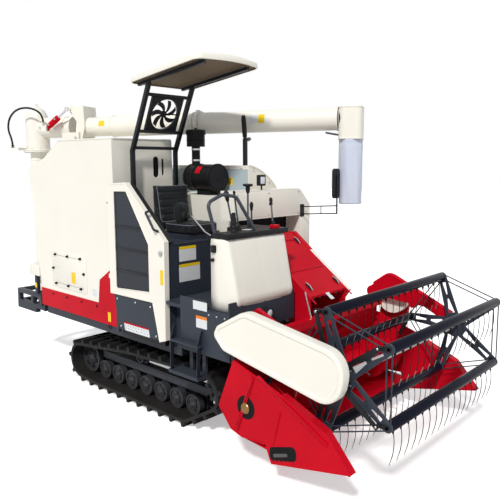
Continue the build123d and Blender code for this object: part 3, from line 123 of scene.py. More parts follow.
# Main frame
# Welded rails, cross members, track beams, gearbox and rear frame of square tube, in satin slate-grey
# enamel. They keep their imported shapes; the enamel has a faint orange peel and a little dust low down.
def finish(name, colour, rough=0.4, coat=0.0, metal=0.0, vary=0.05, grain=(220, 0.04), dust=0.0, sheen=0.0,
           shine=0.2):
    """Node material: base colour times slow noise, fine noise as bump, roughness stirred by the slow noise.

    grain is the scale and strength of the fine noise. dust is how far the colour goes to dry earth at the
    ground; it fades out at 0.5 m.
    """
    mat = bpy.data.materials.new(name)
    mat.use_nodes = True
    t = mat.node_tree
    shade = t.nodes["Principled BSDF"]
    for socket, value in (("Metallic", metal), ("Coat Weight", coat), ("Coat Roughness", 0.08),
                          ("Specular IOR Level", shine), ("Sheen Weight", sheen)):
        shade.inputs[socket].default_value = value
    here = node(t, "TexCoord").outputs["Object"]
    slow = node(t, "TexNoise", ("Scale", 2.6), ("Detail", 5), ("Vector", here))
    ramp = node(t, "ValToRGB", ("Fac", slow.outputs["Fac"]))
    for stop, position, gain in zip(ramp.color_ramp.elements, (0.3, 0.7), (1 - vary, 1 + vary * 0.6)):
        stop.position = position
        stop.color = (*[min(1, c * gain) for c in colour], 1)
    paint = ramp.outputs["Color"]
    if dust:
        height = node(t, "SeparateXYZ", (0, here)).outputs["Z"]
        fade = node(t, "MapRange", ("Value", height), ("From Min", 0.0), ("From Max", 0.5), ("To Min", dust),
                    ("To Max", 0.0))
        patch = node(t, "TexNoise", ("Scale", 14), ("Detail", 6), ("Vector", here))
        amount = node(t, "Math", (0, fade.outputs[0]), (1, patch.outputs["Fac"]), operation="MULTIPLY")
        earth = (0.30, 0.25, 0.19, 1)
        mix = node(t, "Mix", ("Factor", amount.outputs[0]), (6, paint), (7, earth), data_type="RGBA")
        paint = mix.outputs[2]
    stir = node(t, "MapRange", ("Value", slow.outputs["Fac"]), ("To Min", rough * 0.8),
                ("To Max", min(1, rough * 1.25)))
    fine = node(t, "TexNoise", ("Scale", grain[0]), ("Detail", 2), ("Vector", here))
    bump = node(t, "Bump", ("Height", fine.outputs["Fac"]), ("Strength", grain[1]), ("Distance", 0.002))
    for output, socket in ((paint, "Base Color"), (stir.outputs[0], "Roughness"),
                           (bump.outputs[0], "Normal")):
        t.links.new(output, shade.inputs[socket])
    return mat


def repaint(material, *names):
    """Gives CAD nodes a material in every slot."""
    for name in names:
        data = nodes[name].data
        data.materials.clear()
        data.materials.append(material)


slate = finish("slate_enamel", (0.026, 0.031, 0.042), rough=0.42, grain=(180, 0.06), dust=0.12)
repaint(slate, "main_frame", "gearbox", "rear_frame")


# Rubber tracks
# Moulded black rubber loops with staggered lugs round iron wheels, dusty where they meet the ground. Both
# keep their imported shapes; the wheels get hub caps, bolts, and discs of painted shade where their holes are.
def build(name, shells, body, slot, *stands_for, smooth=32):
    """One object from closed shells, each (points, faces, material); doubles merged, faces turned outwards."""
    points, faces, owners, materials, first = [], [], [], [], 0
    for shell_points, shell_faces, material in shells:
        if material not in materials:
            materials.append(material)
        points.append(np.asarray(shell_points, float).reshape(-1, 3))
        faces += [[first + i for i in face] for face in shell_faces]
        owners += [materials.index(material)] * len(shell_faces)
        first += len(points[-1])
    data = bpy.data.meshes.new(name)
    data.from_pydata(np.concatenate(points).tolist(), [], faces)
    data.polygons.foreach_set("material_index", owners)
    for material in materials:
        data.materials.append(material)
    work = bmesh.new()
    work.from_mesh(data)
    bmesh.ops.remove_doubles(work, verts=work.verts, dist=2e-6)
    bmesh.ops.dissolve_degenerate(work, edges=work.edges, dist=1e-6)
    bmesh.ops.recalc_face_normals(work, faces=work.faces)
    work.to_mesh(data)
    work.free()
    data.polygons.foreach_set("use_smooth", [True] * len(data.polygons))
    data.set_sharp_from_angle(angle=radians(smooth))
    piece = into_scene(name, data)
    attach(piece, body)
    if stands_for:
        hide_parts(*stands_for)
    return piece


def skin(name, points, faces, material, thick):
    """An open sheet in the scene, with a wall of some thickness on its inner side."""
    data = bpy.data.meshes.new(name)
    data.from_pydata(points.tolist(), [], faces)
    data.polygons.foreach_set("use_smooth", [True] * len(data.polygons))
    data.materials.append(material)
    piece = into_scene(name, data)
    wall = piece.modifiers.new("wall", "SOLIDIFY")
    wall.thickness = thick
    wall.offset = -1
    return piece


def mesh_values(items, key="co"):
    """The places of a mesh's vertices, or another of their values, as rows of three."""
    values = np.empty(len(items) * 3)
    items.foreach_get(key, values)
    return values.reshape(-1, 3)


def unit(vectors):
    """Rows of vectors at length one."""
    return vectors / np.linalg.norm(vectors, axis=1, keepdims=True)


def rounded(corners, radius, closed=True, steps=5):
    """Corners of a line in 2 or 3 dimensions turned into arcs that touch both runs.

    Arc: centre - n r cos(a) + u r sin(a), a from 0 to the turn, u the run before, n at right angles to it
    towards the next.
    """
    c = np.asarray(corners, float)
    r = np.broadcast_to(np.asarray(radius, float), len(c)).copy()
    before = c - np.roll(c, 1, 0)
    after = np.roll(c, -1, 0) - c
    if not closed:
        before[0], after[-1] = after[0], before[-1]
        r[0] = r[-1] = 0
    u, v = unit(before), unit(after)
    turn = np.arccos(np.clip((u * v).sum(1), -1, 1))
    n = (v - u * np.cos(turn)[:, None]) / np.maximum(np.sin(turn), 1e-9)[:, None]
    start = c - u * (r * np.tan(turn / 2))[:, None]
    angle = turn[:, None] * np.linspace(0, 1, steps + 1)
    centre = start + n * r[:, None]
    arc = (centre[:, None] - n[:, None] * (r[:, None] * np.cos(angle))[..., None]
           + u[:, None] * (r[:, None] * np.sin(angle))[..., None]).reshape(-1, c.shape[1])
    keep = np.r_[True, np.linalg.norm(np.diff(arc, axis=0), axis=1) > 1e-6]
    if closed and np.linalg.norm(arc[0] - arc[-1]) < 1e-6:
        keep[-1] = False
    return arc[keep]


def placed(flat, along, axis):
    """Points of a flat outline at a place along an axis: x takes (y, z), y takes (x, z), z takes (x, y)."""
    order = {"x": (2, 0, 1), "y": (0, 2, 1), "z": (0, 1, 2)}[axis]
    along = np.broadcast_to(np.asarray(along, float)[..., None], flat.shape[:-1] + (1,))
    return np.concatenate([flat, along], -1)[..., order]


def tiles(rows, count, wrap=False):
    """Quads between the rows of a grid, each row a closed ring of count points; wrap joins last to first."""
    r, k = np.meshgrid(np.arange(rows if wrap else rows - 1), np.arange(count), indexing="ij")
    s, next_k = (r + 1) % rows, (k + 1) % count
    quads = np.stack([r * count + k, r * count + next_k, s * count + next_k, s * count + k], -1)
    return quads.reshape(-1, 4).tolist()


def lids(rows, count):
    """The two end faces of a stack of closed rings."""
    last = (rows - 1) * count
    return [list(range(count))[::-1], list(range(last, last + count))]


def slab(outline, low, high, edge, axis, material, steps=3, dent=None):
    """A plate from a flat outline, with rounded edges.

    Rings: the outline moved in by edge (1 - sin a) at low + edge (1 - cos a), a from 0 to 90 degrees, and
    the same from the other face. dent = (inset, depth) sinks the middle of both faces.
    """
    p = np.asarray(outline, float)
    count = len(p)
    runs = unit(p - np.roll(p, 1, 0)) + unit(np.roll(p, -1, 0) - p)
    area = (p[:, 0] * np.roll(p[:, 1], -1) - np.roll(p[:, 0], -1) * p[:, 1]).sum()
    inward = np.stack([-runs[:, 1], runs[:, 0]], 1) * np.sign(area)
    inward /= np.maximum((np.linalg.norm(runs, axis=1) ** 2 / 2), 0.2)[:, None]
    a = np.linspace(0, pi / 2, steps + 1)
    insets = edge * (1 - np.sin(a))
    places = low + edge * (1 - np.cos(a))
    insets, places = np.r_[insets, insets[::-1]], np.r_[places, (low + high - places)[::-1]]
    if dent:
        inset, depth = dent
        insets = np.r_[edge + inset + depth, edge + inset, insets, edge + inset, edge + inset + depth]
        places = np.r_[low + depth, low, places, high, high - depth]
    rows = len(places)
    flat = p[None] + inward[None] * insets[:, None, None]
    rings = placed(flat, np.broadcast_to(places[:, None], (rows, count)), axis)
    return rings.reshape(-1, 3), tiles(rows, count) + lids(rows, count), material


def lathe(profile, centre, axis, material, sides=32):
    """A profile of (radius, along) turned round an axis: centre + r (cos t, sin t) + along the axis."""
    p = np.asarray(profile, float)
    t = np.linspace(0, 2 * pi, sides, endpoint=False)
    flat = p[:, 0, None, None] * np.stack([np.cos(t), np.sin(t)], -1)[None]
    points = placed(flat, np.broadcast_to(p[:, 1, None], (len(p), sides)), axis) + np.asarray(centre, float)
    ends = [lid for lid, r in zip(lids(len(p), sides), (p[0, 0], p[-1, 0])) if r > 1e-6]
    return points.reshape(-1, 3), tiles(len(p), sides) + ends, material


def pipe(line, radius, material, up=(0, 0, 1), sides=12, closed=False):
    """A round bar along a line: line + r (cos t side + sin t lift), side at right angles to the run and up."""
    line = np.asarray(line, float)
    run = unit(np.roll(line, -1, 0) - np.roll(line, 1, 0) if closed else np.gradient(line, axis=0))
    side = unit(np.cross(run, np.asarray(up, float)))
    lift = np.cross(side, run)
    t = np.linspace(0, 2 * pi, sides, endpoint=False)[None, :, None]
    r = np.broadcast_to(np.asarray(radius, float), len(line))[:, None, None]
    points = line[:, None] + r * (np.cos(t) * side[:, None] + np.sin(t) * lift[:, None])
    faces = tiles(len(line), sides, wrap=closed)
    if not closed:
        faces += lids(len(line), sides)
    return points.reshape(-1, 3), faces, material


def rod(line, radius, material, sides=8, **more):
    """A round bar that doesn't run along y."""
    return pipe(line, radius, material, up=(0, 1, 0), sides=sides, **more)


def hoop(centre, radius, thick, material, axis, count=20, twist=0.0):
    """A closed ring of round wire about an axis."""
    t = np.linspace(0, 2 * pi, count, endpoint=False) + twist
    line = placed(radius * np.stack([np.cos(t), np.sin(t)], 1), 0.0, axis) + np.asarray(centre, float)
    return pipe(line, thick, material, up=placed(np.zeros(2), 1.0, axis), sides=8, closed=True)


def plate(corners, radius, low, high, edge, axis, material, **more):
    """A slab from corners, rounded first."""
    return slab(rounded(corners, radius), low, high, edge, axis, material, **more)


def panel(u, v, radius, low, high, edge, axis, material, **more):
    """A plate over two ranges."""
    corners = [(u[0], v[0]), (u[1], v[0]), (u[1], v[1]), (u[0], v[1])]
    return plate(corners, radius, low, high, edge, axis, material, **more)


def foil(u, v, low, high, axis, material, radius=0.004):
    """A thin plate over two ranges, its edges broken by half a millimetre."""
    return panel(u, v, radius, low, high, 0.0005, axis, material, steps=1)


def head(size, centre, axis, material, sides=6, out=-1):
    """Head of a bolt or knob, on the low side of its centre, or on the high side with out = 1.

    size: its height, radius of its face, full radius, height of its shoulder and depth of its foot.
    """
    tall, face, wide, shoulder, foot = size
    profile = [(0, -tall), (face, -tall), (wide, -shoulder), (wide, foot)]
    if out > 0:
        profile = [(r, -h) for r, h in profile[::-1]]
    return lathe(profile, centre, axis, material, sides)


def copies(shell, moves):
    """The same shell at several offsets."""
    points, faces, material = shell
    return [(points + np.asarray(move, float), faces, material) for move in moves]


rubber = finish("track_rubber", (0.010, 0.010, 0.011), rough=0.6, vary=0.25, grain=(90, 0.25), dust=0.05)
wheel_iron = finish("wheel_enamel", (0.024, 0.027, 0.034), rough=0.38, vary=0.15, grain=(120, 0.1), dust=0.12)
# Painted shade: a near-black finish for the thin discs drawn where the wheels' lightening holes are.
painted_hole_shade = finish("wheel_holes_painted_shade", (0.006, 0.006, 0.007), rough=0.7, grain=(90, 0.1))
repaint(rubber, "track_right", "track_left")
repaint(wheel_iron, "track_wheels_right", "track_wheels_left")

# Hub caps, their bolts, and thin discs of painted shade that stand for the lightening holes: three in the
# sunk face of each roller, six in the idler and in the drive wheel.
wheel_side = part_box("track_wheels_right")[0].y
face_depth, disc_out = 0.0113, 0.0005
hubs = [(-0.9645 + k * 0.2327, 0.163, 0.095) for k in range(7)]
hubs += [(-0.35, 0.432, 0.06), (-1.23, 0.24, 0.157), (0.74, 0.39, 0.142)]
trim = []
for x, z, r in hubs:
    cap = r * 0.28
    profile = [(0, -0.012), (cap * 0.55, -0.012), (cap * 0.8, -0.009), (cap, -0.002), (cap * 1.05, 0.004)]
    trim.append(lathe(profile, (x, wheel_side, z), "y", wheel_iron, 20))
    roller = r < 0.1
    count = 3 if roller else 6
    for k in range(count):
        a = 2 * pi * k / count + x * 7
        disc = (x + r * 0.6 * cos(a), wheel_side + (face_depth if roller else -disc_out),
                z + r * 0.6 * sin(a))
        trim.append(lathe([(0, -0.001), (r * 0.14, -0.001), (r * 0.15, 0.004)], disc, "y", painted_hole_shade, 12))
        a += pi / count
        bolt = (x + r * 0.4 * cos(a), wheel_side - 0.001, z + r * 0.4 * sin(a))
        trim.append(head((0.007, 0.007, 0.008, 0.005, 0.003), bolt, "y", wheel_iron))
build("roller_trim_right", trim, "chassis", "slate_paint")
other_side = [(points * (1, -1, 1), faces, material) for points, faces, material in trim]
build("roller_trim_left", other_side, "chassis", "slate_paint")

# Grain tank and skirt
# Pressed sheet-steel tank in warm white gloss with a bolted cleaning hatch, sight windows in its front
# wall, a roof plate, and the red skirt below with its row of black bolts.
cream = finish("cream_gloss", (0.80, 0.775, 0.70), rough=0.34, vary=0.02, grain=(60, 0.03), shine=0.35)
red = finish("red_gloss", (0.50, 0.003, 0.014), rough=0.32, shine=0.06, vary=0.10, grain=(60, 0.03))
black_steel = finish("black_enamel", (0.010, 0.011, 0.014), rough=0.35, vary=0.15)
moulded = finish("black_plastic", (0.008, 0.008, 0.010), rough=0.5, vary=0.15, grain=(700, 0.25))
# Near black for real seams and joints, and painted shade for windows, holes and recesses drawn as flat dark
# plates.
seams_and_painted_shade = finish("dark_seams_and_painted_shade", (0.004, 0.004, 0.005), rough=0.8, grain=(60, 0.02))
yellow = finish("yellow_foil", (0.80, 0.55, 0.01), rough=0.4, vary=0.02, grain=(300, 0.03))
white = finish("white_foil", (0.66, 0.68, 0.70), rough=0.45, vary=0.02, grain=(300, 0.03))
orange = finish("orange_foil", (0.75, 0.20, 0.02), rough=0.4, vary=0.02, grain=(300, 0.03))
bright = finish("bright_steel", (0.55, 0.55, 0.56), rough=0.3, metal=1.0, vary=0.08, grain=(400, 0.05))
repaint(cream, "grain_tank", "auger_pipe")
repaint(red, "skirt")

tank_right, tank_front = -0.76, -0.52
hatch_x, hatch_z, hatch_thick = (-1.73, -1.035), (0.975, 1.378), 0.006
hatch_face = tank_right - hatch_thick
shells = [panel((-1.53, -0.512), (-0.766, -0.039), 0.03, 2.54, 2.5545, 0.006, "z", cream),
          panel(hatch_x, hatch_z, 0.03, hatch_face, tank_right, 0.003, "y", cream, steps=2)]
for z in (hatch_z[0] + 0.05, hatch_z[1] - 0.05):
    seam = (hatch_x[0] + 0.06, hatch_x[1] - 0.06)
    shells.append(panel(seam, (z - 0.0012, z + 0.0012), 0.0005, tank_right - 0.0072, tank_right - 0.004,
                        0.0004, "y", seams_and_painted_shade, steps=1))
knob = [(0, -0.022), (0.007, -0.022), (0.010, -0.020), (0.012, -0.015), (0.012, -0.009), (0.009, -0.006),
        (0.009, 0.0), (0.015, 0.0), (0.015, 0.003)]
knobs = [(x, z) for x in (-1.64, -1.39, -1.14) for z in (1.018, 1.335)] + [(-1.687, 1.182), (-1.078, 1.182)]
for x, z in knobs:
    shells.append(lathe(knob, (x, hatch_face, z), "y", moulded, 14))
# Painted shade: a window and a slot in the tank's front wall, drawn as flat dark plates for the dark inside.
for y, z0, z1, r in ((-0.25, 2.17, 2.38, 0.034), (-0.165, 2.19, 2.36, 0.014)):
    shells.append(panel((y - r - 0.008, y + r + 0.008), (z0 - 0.013, z1 + 0.013), r + 0.0075, -0.533,
                        -0.5275, 0.0015, "x", seams_and_painted_shade, steps=1))
build("tank_trim", shells, "chassis", "cream_paint", "tank_fittings")

# Blank foils on the hatch, beside it and on the front edge; the skirt's bolts, its ring handle and a foil
# above that.
shells = [foil((-1.327, -1.249), (1.058, 1.176), tank_right - 0.0075, tank_right - 0.004, "y", yellow),
          foil((-0.94, -0.859), (0.977, 1.052), tank_right - 0.0015, tank_right + 0.001, "y", white),
          foil((-0.68, -0.616), (2.19, 2.26), tank_front - 0.0015, tank_front + 0.001, "x", white),
          foil((-0.68, -0.616), (2.255, 2.325), tank_front - 0.0012, tank_front + 0.002, "x", yellow)]
for x in (-1.735, -1.444, -1.153, -0.863):
    shells.append(head((0.010, 0.009, 0.011, 0.007, 0.002), (x, tank_right - 0.004, 0.885), "y", moulded, 8))
shells.append(hoop((-0.66, tank_right + 0.008, 0.705), 0.022, 0.005, black_steel, "y", 24))
shells.append(foil((-0.669, -0.622), (0.762, 0.855), tank_right - 0.0055, tank_right - 0.002, "y", yellow,
                   0.003))
build("tank_foils", shells, "chassis", "cream_paint")

# Upper rear frame
# The rear frame's upper level of square tube, 0.13 m above the lower, on six short posts.
tube = 0.050


def beam(x, y, z):
    """A square tube between two corners, its long edges rounded by 4 mm."""
    return panel(x, z, 0.004, *y, 0.003, "y", slate, steps=2)


shells = []
for y in ((-0.760, -0.710), (0.710, 0.760)):
    shells.append(beam((-2.600, -2.020), y, (0.780, 0.830)))
    shells += [beam((x, x + tube), y, (0.699, 0.781)) for x in (-2.600, -2.270, -2.070)]
shells += [beam((x, x + tube), (-0.711, 0.711), (0.780, 0.830)) for x in (-2.600, -2.270)]
build("rear_upper_frame", shells, "chassis", "slate_paint")

# Radiator door
# Cream sheet door with a folded rim and rounded window; behind it a black mesh with three stiffening bars,
# and a bent grab handle and lock. The mesh is a flat sheet, its crossed wires a pattern in the material.
repaint(cream, "radiator_door")
mesh_black = finish("mesh_black", (0.022, 0.024, 0.03), rough=0.5, metal=0.2, vary=0.1, grain=(50, 0.05))


def wire_cloth(name, pitch, wire, colour, gap_colour):
    """Woven mesh: colour where x or z is nearer than wire to a multiple of pitch, gap_colour elsewhere."""
    mat = finish(name, colour, rough=0.45, metal=0.3, vary=0.1)
    t = mat.node_tree
    axes = node(t, "SeparateXYZ", (0, node(t, "TexCoord").outputs["Object"]))
    wires = []
    for axis in ("X", "Z"):
        wave = node(t, "Math", (0, axes.outputs[axis]), (1, pitch / 2), operation="PINGPONG")
        wires.append(node(t, "Math", (0, wave.outputs[0]), (1, wire), operation="LESS_THAN"))
    either = node(t, "Math", (0, wires[0].outputs[0]), (1, wires[1].outputs[0]), operation="MAXIMUM")
    mix = node(t, "Mix", ("Factor", either.outputs[0]), (6, (*gap_colour, 1)), (7, (*colour, 1)),
               data_type="RGBA")
    t.links.new(mix.outputs[2], t.nodes["Principled BSDF"].inputs["Base Color"])
    return mat


cloth = wire_cloth("door_wire_cloth", 0.012, 0.0024, (0.045, 0.050, 0.065), (0.014, 0.016, 0.021))
repaint(cloth, "door_screen")
door_y = -0.90
window_right, slope_z, slope_rate = 0.205, 1.62, 0.69
shells = []
for z in (1.345, 1.545, 1.745):
    right_end = window_right if z < slope_z else window_right - slope_rate * (z - slope_z)
    shells.append(panel((-0.30, right_end), (z - 0.011, z + 0.011), 0.004, door_y + 0.0005, door_y + 0.0075,
                        0.003, "y", mesh_black, steps=2))
window = [(-0.300, 1.170), (window_right, 1.200), (window_right, slope_z), (-0.105, 2.070), (-0.300, 2.065)]
door_edge = [(-0.39, 1.12), (0.24, 1.124), (0.325, 0.79), (0.399, 0.815), (0.405, 1.655), (-0.123, 2.136),
             (-0.39, 2.12)]
for corners, corner, out, thick in ((window, 0.018, -0.001, 0.0045), (door_edge, 0.012, 0.002, 0.006)):
    line = placed(rounded(corners, corner), door_y + out, "y")
    shells.append(rod(line, thick, cream, closed=True))
lock = [(0, -0.017), (0.010, -0.017), (0.011, -0.014), (0.021, -0.014), (0.023, -0.010), (0.023, 0.0)]
shells.append(lathe(lock, (0.37, door_y - 0.0005, 1.56), "y", bright, 20))
shells.append(foil((0.354, 0.403), (1.288, 1.417), door_y - 0.0012, door_y + 0.001, "y", yellow))
grip = [(0.205, -0.897, 1.905), (0.222, -0.938, 1.900), (0.330, -0.938, 1.760), (0.335, -0.897, 1.745)]
shells.append(pipe(rounded(grip, 0.02, closed=False), 0.0105, slate, up=(0.6, 0, 0.8), sides=14))
build("door_trim", shells, "door", "cream_paint")

# Lower panel, seat box and radiator
# Folded sheet in slate grey: panel below the door with a blank perforated plate, the seat box and the step
# panel with blank foils, the radiator core behind the mesh and the engine block inside.
box_grey = finish("slate_panel", (0.030, 0.037, 0.052), rough=0.36, grain=(180, 0.05), dust=0.1)
repaint(box_grey, "seat_box")
repaint(black_steel, "radiator")
cast = finish("engine_casting", (0.11, 0.11, 0.115), rough=0.6, metal=0.6, vary=0.2, grain=(260, 0.3))
repaint(cast, "engine_block")
panel_y = -0.894
hole_pitch, hole_rise, hole_lean = 0.04, 0.026, 0.006
shells = [plate([(-0.19, 0.79), (0.18, 0.79), (0.165, 0.87), (-0.205, 0.87)], 0.008, panel_y - 0.003,
                panel_y + 0.001, 0.001, "y", white, steps=1),
          plate([(-0.204, 0.856), (0.168, 0.856), (0.165, 0.87), (-0.205, 0.87)], 0.004, panel_y - 0.0042,
                panel_y + 0.001, 0.001, "y", red, steps=1)]
# Painted shade: dark discs drawn where the perforated plate's holes are.
for row in range(2):
    for column in range(9):
        hole = (-0.175 + column * hole_pitch - row * hole_lean, panel_y, 0.812 + row * hole_rise)
        shells.append(lathe([(0, -0.0035), (0.0045, -0.0035), (0.0045, 0.001)], hole, "y", seams_and_painted_shade, 8))
for x, z in ((-0.30, 1.07), (0.20, 1.07), (0.27, 0.82), (-0.25, 0.82), (-0.02, 1.075), (0.02, 0.815)):
    shells.append(head((0.007, 0.007, 0.009, 0.004, 0.001), (x, panel_y, z), "y", bright, 10))
shells.append(plate([(0.235, 1.098), (0.252, 1.098), (0.322, 0.795), (0.308, 0.795)], 0.003, panel_y - 0.002,
                    panel_y + 0.010, 0.001, "y", cream, steps=1))
build("lower_panel_trim", shells, "chassis", "slate_paint")

box_front, band_high = 0.40, 0.025
shells = []
for y, z in (((-0.727, -0.538), (1.470, 1.600)), ((-0.731, -0.495), (1.290, 1.445))):
    shells.append(foil(y, z, box_front - 0.0005, box_front + 0.0018, "x", white))
    shells.append(foil(y, (z[1] - band_high, z[1]), box_front - 0.0005, box_front + 0.0026, "x", yellow))
shells.append(panel((-0.84, -0.27), (1.622, 1.630), 0.002, box_front - 0.001, box_front + 0.004, 0.0015,
                    "x", slate, steps=1))
build("seat_box_trim", shells, "chassis", "slate_paint")

# Operator's floor, console and levers
# Chequered floor and steps in slate enamel, a moulded cream console with soft upright folds, a black dash
# with ball-ended levers in rubber boots, and a bent hand hoop of dark steel tube.
repaint(box_grey, "operator_floor")


def chequer(material, pitch, depth):
    """Adds raised lozenges: bump height is the product of two triangle waves across the diagonals."""
    t = material.node_tree
    place = next(n for n in t.nodes if n.type == "TEX_COORD")
    bump = next(n for n in t.nodes if n.type == "BUMP")
    axes = node(t, "SeparateXYZ", (0, place.outputs["Object"])).outputs
    waves = []
    for kind in ("ADD", "SUBTRACT"):
        lean = node(t, "Math", (0, axes["X"]), (1, axes["Y"]), operation=kind)
        waves.append(node(t, "Math", (0, lean.outputs[0]), (1, pitch), operation="PINGPONG").outputs[0])
    lozenge = node(t, "Math", (0, waves[0]), (1, waves[1]), operation="MULTIPLY")
    scale = node(t, "Math", (0, lozenge.outputs[0]), (1, 1 / pitch ** 2), operation="MULTIPLY")
    t.links.new(scale.outputs[0], bump.inputs["Height"])
    bump.inputs["Strength"].default_value = depth
    return material


tread_grey = chequer(finish("chequer_plate", (0.036, 0.043, 0.056), rough=0.4, dust=0.1), 0.018, 0.6)
shells = [panel((0.43, 0.925), (-0.84, -0.34), 0.01, 1.1595, 1.1635, 0.002, "z", tread_grey, steps=1)]
for x0, x1, z in ((0.56, 0.88, 0.87), (0.444, 0.814, 0.575)):
    shells.append(panel((x0 + 0.012, x1 - 0.012), (-0.893, -0.787), 0.01, z - 0.0005, z + 0.003, 0.002, "z",
                        tread_grey, steps=1))
build("floor_plates", shells, "chassis", "slate_paint")

# The steps' outer frame: a tread level with the upper step and two bent side plates that lean back by 71 mm
# down to the lower one.
lean_back = 0.071
shells = [panel((0.545, 0.885), (-0.960, -0.896), 0.008, 0.852, 0.868, 0.003, "z", box_grey),
          panel((0.557, 0.873), (-0.952, -0.900), 0.006, 0.8675, 0.871, 0.001, "z", tread_grey, steps=1)]
side_plate = [(-0.899, 1.010), (-0.922, 0.985), (-0.962, 0.880), (-0.962, 0.845), (-0.912, 0.578),
              (-0.872, 0.578), (-0.899, 0.700)]
for x in (0.545, 0.879):
    points, faces, material = plate(side_plate, 0.012, x, x + 0.006, 0.0015, "x", box_grey, steps=2)
    points[:, 0] -= np.interp(points[:, 2], [0.575, 0.845], [lean_back, 0.0])
    shells.append((points, faces, material))
build("step_frame", shells, "chassis", "slate_paint")

side_y, sill_front = -0.90, 1.19
small_bolt = (0.006, 0.006, 0.008, 0.003, 0.001)
shells = [foil((0.772, 0.938), (1.151, 1.222), side_y - 0.0012, side_y + 0.001, "y", white),
          foil((0.806, 0.935), (1.005, 1.104), side_y - 0.0012, side_y + 0.001, "y", white),
          foil((0.806, 0.935), (1.104 - band_high, 1.104), side_y - 0.002, side_y + 0.001, "y", orange)]
shells += [head(small_bolt, (x, side_y, 1.13), "y", bright, 10) for x in (0.96, 1.05, 1.14)]
shells += [head(small_bolt, (sill_front, y, 1.225), "x", bright, 10, out=1) for y in (-0.62, -0.38, -0.2)]
build("floor_foils", shells, "chassis", "slate_paint")

# Console: a sheet carried round the right side, front and left side. It leans with the height, its front
# swells by 6 mm sin^0.7 across, less 2 mm exp(-(d / 12 mm)^2) at each of three upright folds, and its top
# edge is rounded off.
back_x, console_y = 0.932, (-0.8462, -0.1288)
middle_y = sum(console_y) / 2
corners = [(back_x, console_y[0]), (1.0, console_y[0]), (1.0, console_y[1]), (back_x, console_y[1])]
plan = rounded(corners, [0, 0.045, 0.045, 0], closed=False, steps=10)
dense = []
for a, b in zip(plan[:-1], plan[1:]):
    n = max(1, int(np.linalg.norm(b - a) / 0.02))
    dense.append(a + (b - a) * np.linspace(0, 1, n, endpoint=False)[:, None])
plan = np.vstack(dense + [plan[-1:]])
heights = np.r_[1.1625, np.linspace(1.262, 1.70, 16), 1.715, 1.7255, 1.7295][:, None]
round_off = np.r_[np.zeros(17), 0.002, 0.008, 0.018][:, None]
lean = np.interp(heights, [1.16, 1.262, 1.73], [1.176, 1.2085, 1.1035])
share = np.clip((plan[:, 0] - back_x) / (1.0 - back_x), 0, 1)
fold = sum(np.exp(-((plan[:, 1] - y) / 0.012) ** 2) for y in (-0.76, -0.50, -0.27))
swell = 0.006 * np.sin(pi * np.clip((plan[:, 1] + 0.845) / 0.715, 0, 1)) ** 0.7 - 0.002 * fold
x = back_x + share * (lean - back_x - round_off) + (share > 0.97) * (swell - 0.006)
y = plan[:, 1] + np.sign(middle_y - plan[:, 1]) * round_off * 0.6
grid = np.stack([x, y, np.broadcast_to(heights, x.shape)], -1)
rows, count = x.shape
first = (np.arange(rows - 1)[:, None] * count + np.arange(count - 1)).reshape(-1, 1)
console = skin("console_skin", grid.reshape(-1, 3), (first + [0, 1, count + 1, count]).tolist(), cream, 0.008)
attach(console, "chassis")
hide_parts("console")

boot_rubber = finish("boot_rubber", (0.010, 0.010, 0.011), rough=0.55, grain=(200, 0.2))
tube_grey = finish("hoop_steel", (0.045, 0.052, 0.068), rough=0.3, coat=0.1, vary=0.1)
dash_z = 1.770
shells = []
for x, y, height, wide in ((0.960, -0.62, 0.15, 0.034), (0.960, -0.56, 0.05, 0.02),
                           (0.85, -0.295, 0.06, 0.022), (0.999, -0.185, 0.055, 0.022)):
    z = np.linspace(0, height, 13)
    bellows = np.stack([wide * (1 - 0.55 * z / height) * (1 + 0.09 * np.cos(2 * pi * z / 0.02)), z], 1)
    shells.append(lathe(np.vstack([[(0, 0)], bellows, [(0, height)]]), (x, y, dash_z), "z", boot_rubber, 18))
build("lever_boots", shells, "chassis", "black_plastic")

# Levers: foot and top in plan, height of the top, radius and length of the grip.
levers = [((0.96, -0.62), (0.87, -0.62), 2.10, 0.0225, 0.10),
          ((0.96, -0.56), (0.905, -0.56), 2.095, 0.0115, 0.05),
          ((0.85, -0.295), (0.85, -0.295), 1.99, 0.0165, 0.085),
          ((0.999, -0.185), (0.90, -0.105), 2.02, 0.016, 0.07)]
grip_shape = np.array([0.35, 0.62, 0.72, 0.80, 0.95, 1.0, 0.97, 0.7, 0.12])
back_along = np.linspace(0, 1, len(grip_shape))[:, None] - 1
shells = []
for foot, top, height, r, long in levers:
    start, end = np.array([*foot, dash_z]), np.array([*top, height])
    axis = (end - start) / np.linalg.norm(end - start)
    stick = np.linspace(start, end - axis * long, 3)
    shells.append(rod(stick, 0.0072, tube_grey, 10))
    shells.append(rod(end + axis * back_along * long, r * grip_shape, moulded, 16))
shells.append(rod([(0.88, -0.37, dash_z), (0.88, -0.37, 2.10)], 0.0075, tube_grey, 10))
throttle = [(0, 2.065), (0.014, 2.065), (0.02, 2.10), (0.018, 2.118), (0.040, 2.124), (0.044, 2.132),
            (0.040, 2.142), (0.0, 2.146)]
shells.append(lathe(throttle, (0.88, -0.37, 0), "z", moulded, 20))
button = [(0, -0.012), (0.014, -0.010), (0.018, 0), (0.014, 0.010), (0, 0.012)]
shells.append(lathe(button, (0.92, -0.125, 1.965), "x", moulded, 14))
crest, hoop_foot = 2.067, 1.765
hand_hoop = [(0.950, -0.815, hoop_foot), (0.905, -0.851, crest - 0.06), (0.915, -0.70, crest),
             (0.950, -0.58, crest - 0.02), (1.030, -0.44, hoop_foot)]
shells.append(pipe(rounded(hand_hoop, 0.06, closed=False, steps=8), 0.0142, tube_grey, up=(1, 0, 0.2),
                   sides=16))
lever = rounded([(0.226, -0.43, 1.837), (0.403, -0.43, 1.704), (0.482, -0.43, 1.675)], 0.08, closed=False)
shells.append(rod(lever, 0.008, bright, 10))
build("lever_sticks", shells, "chassis", "black_plastic")
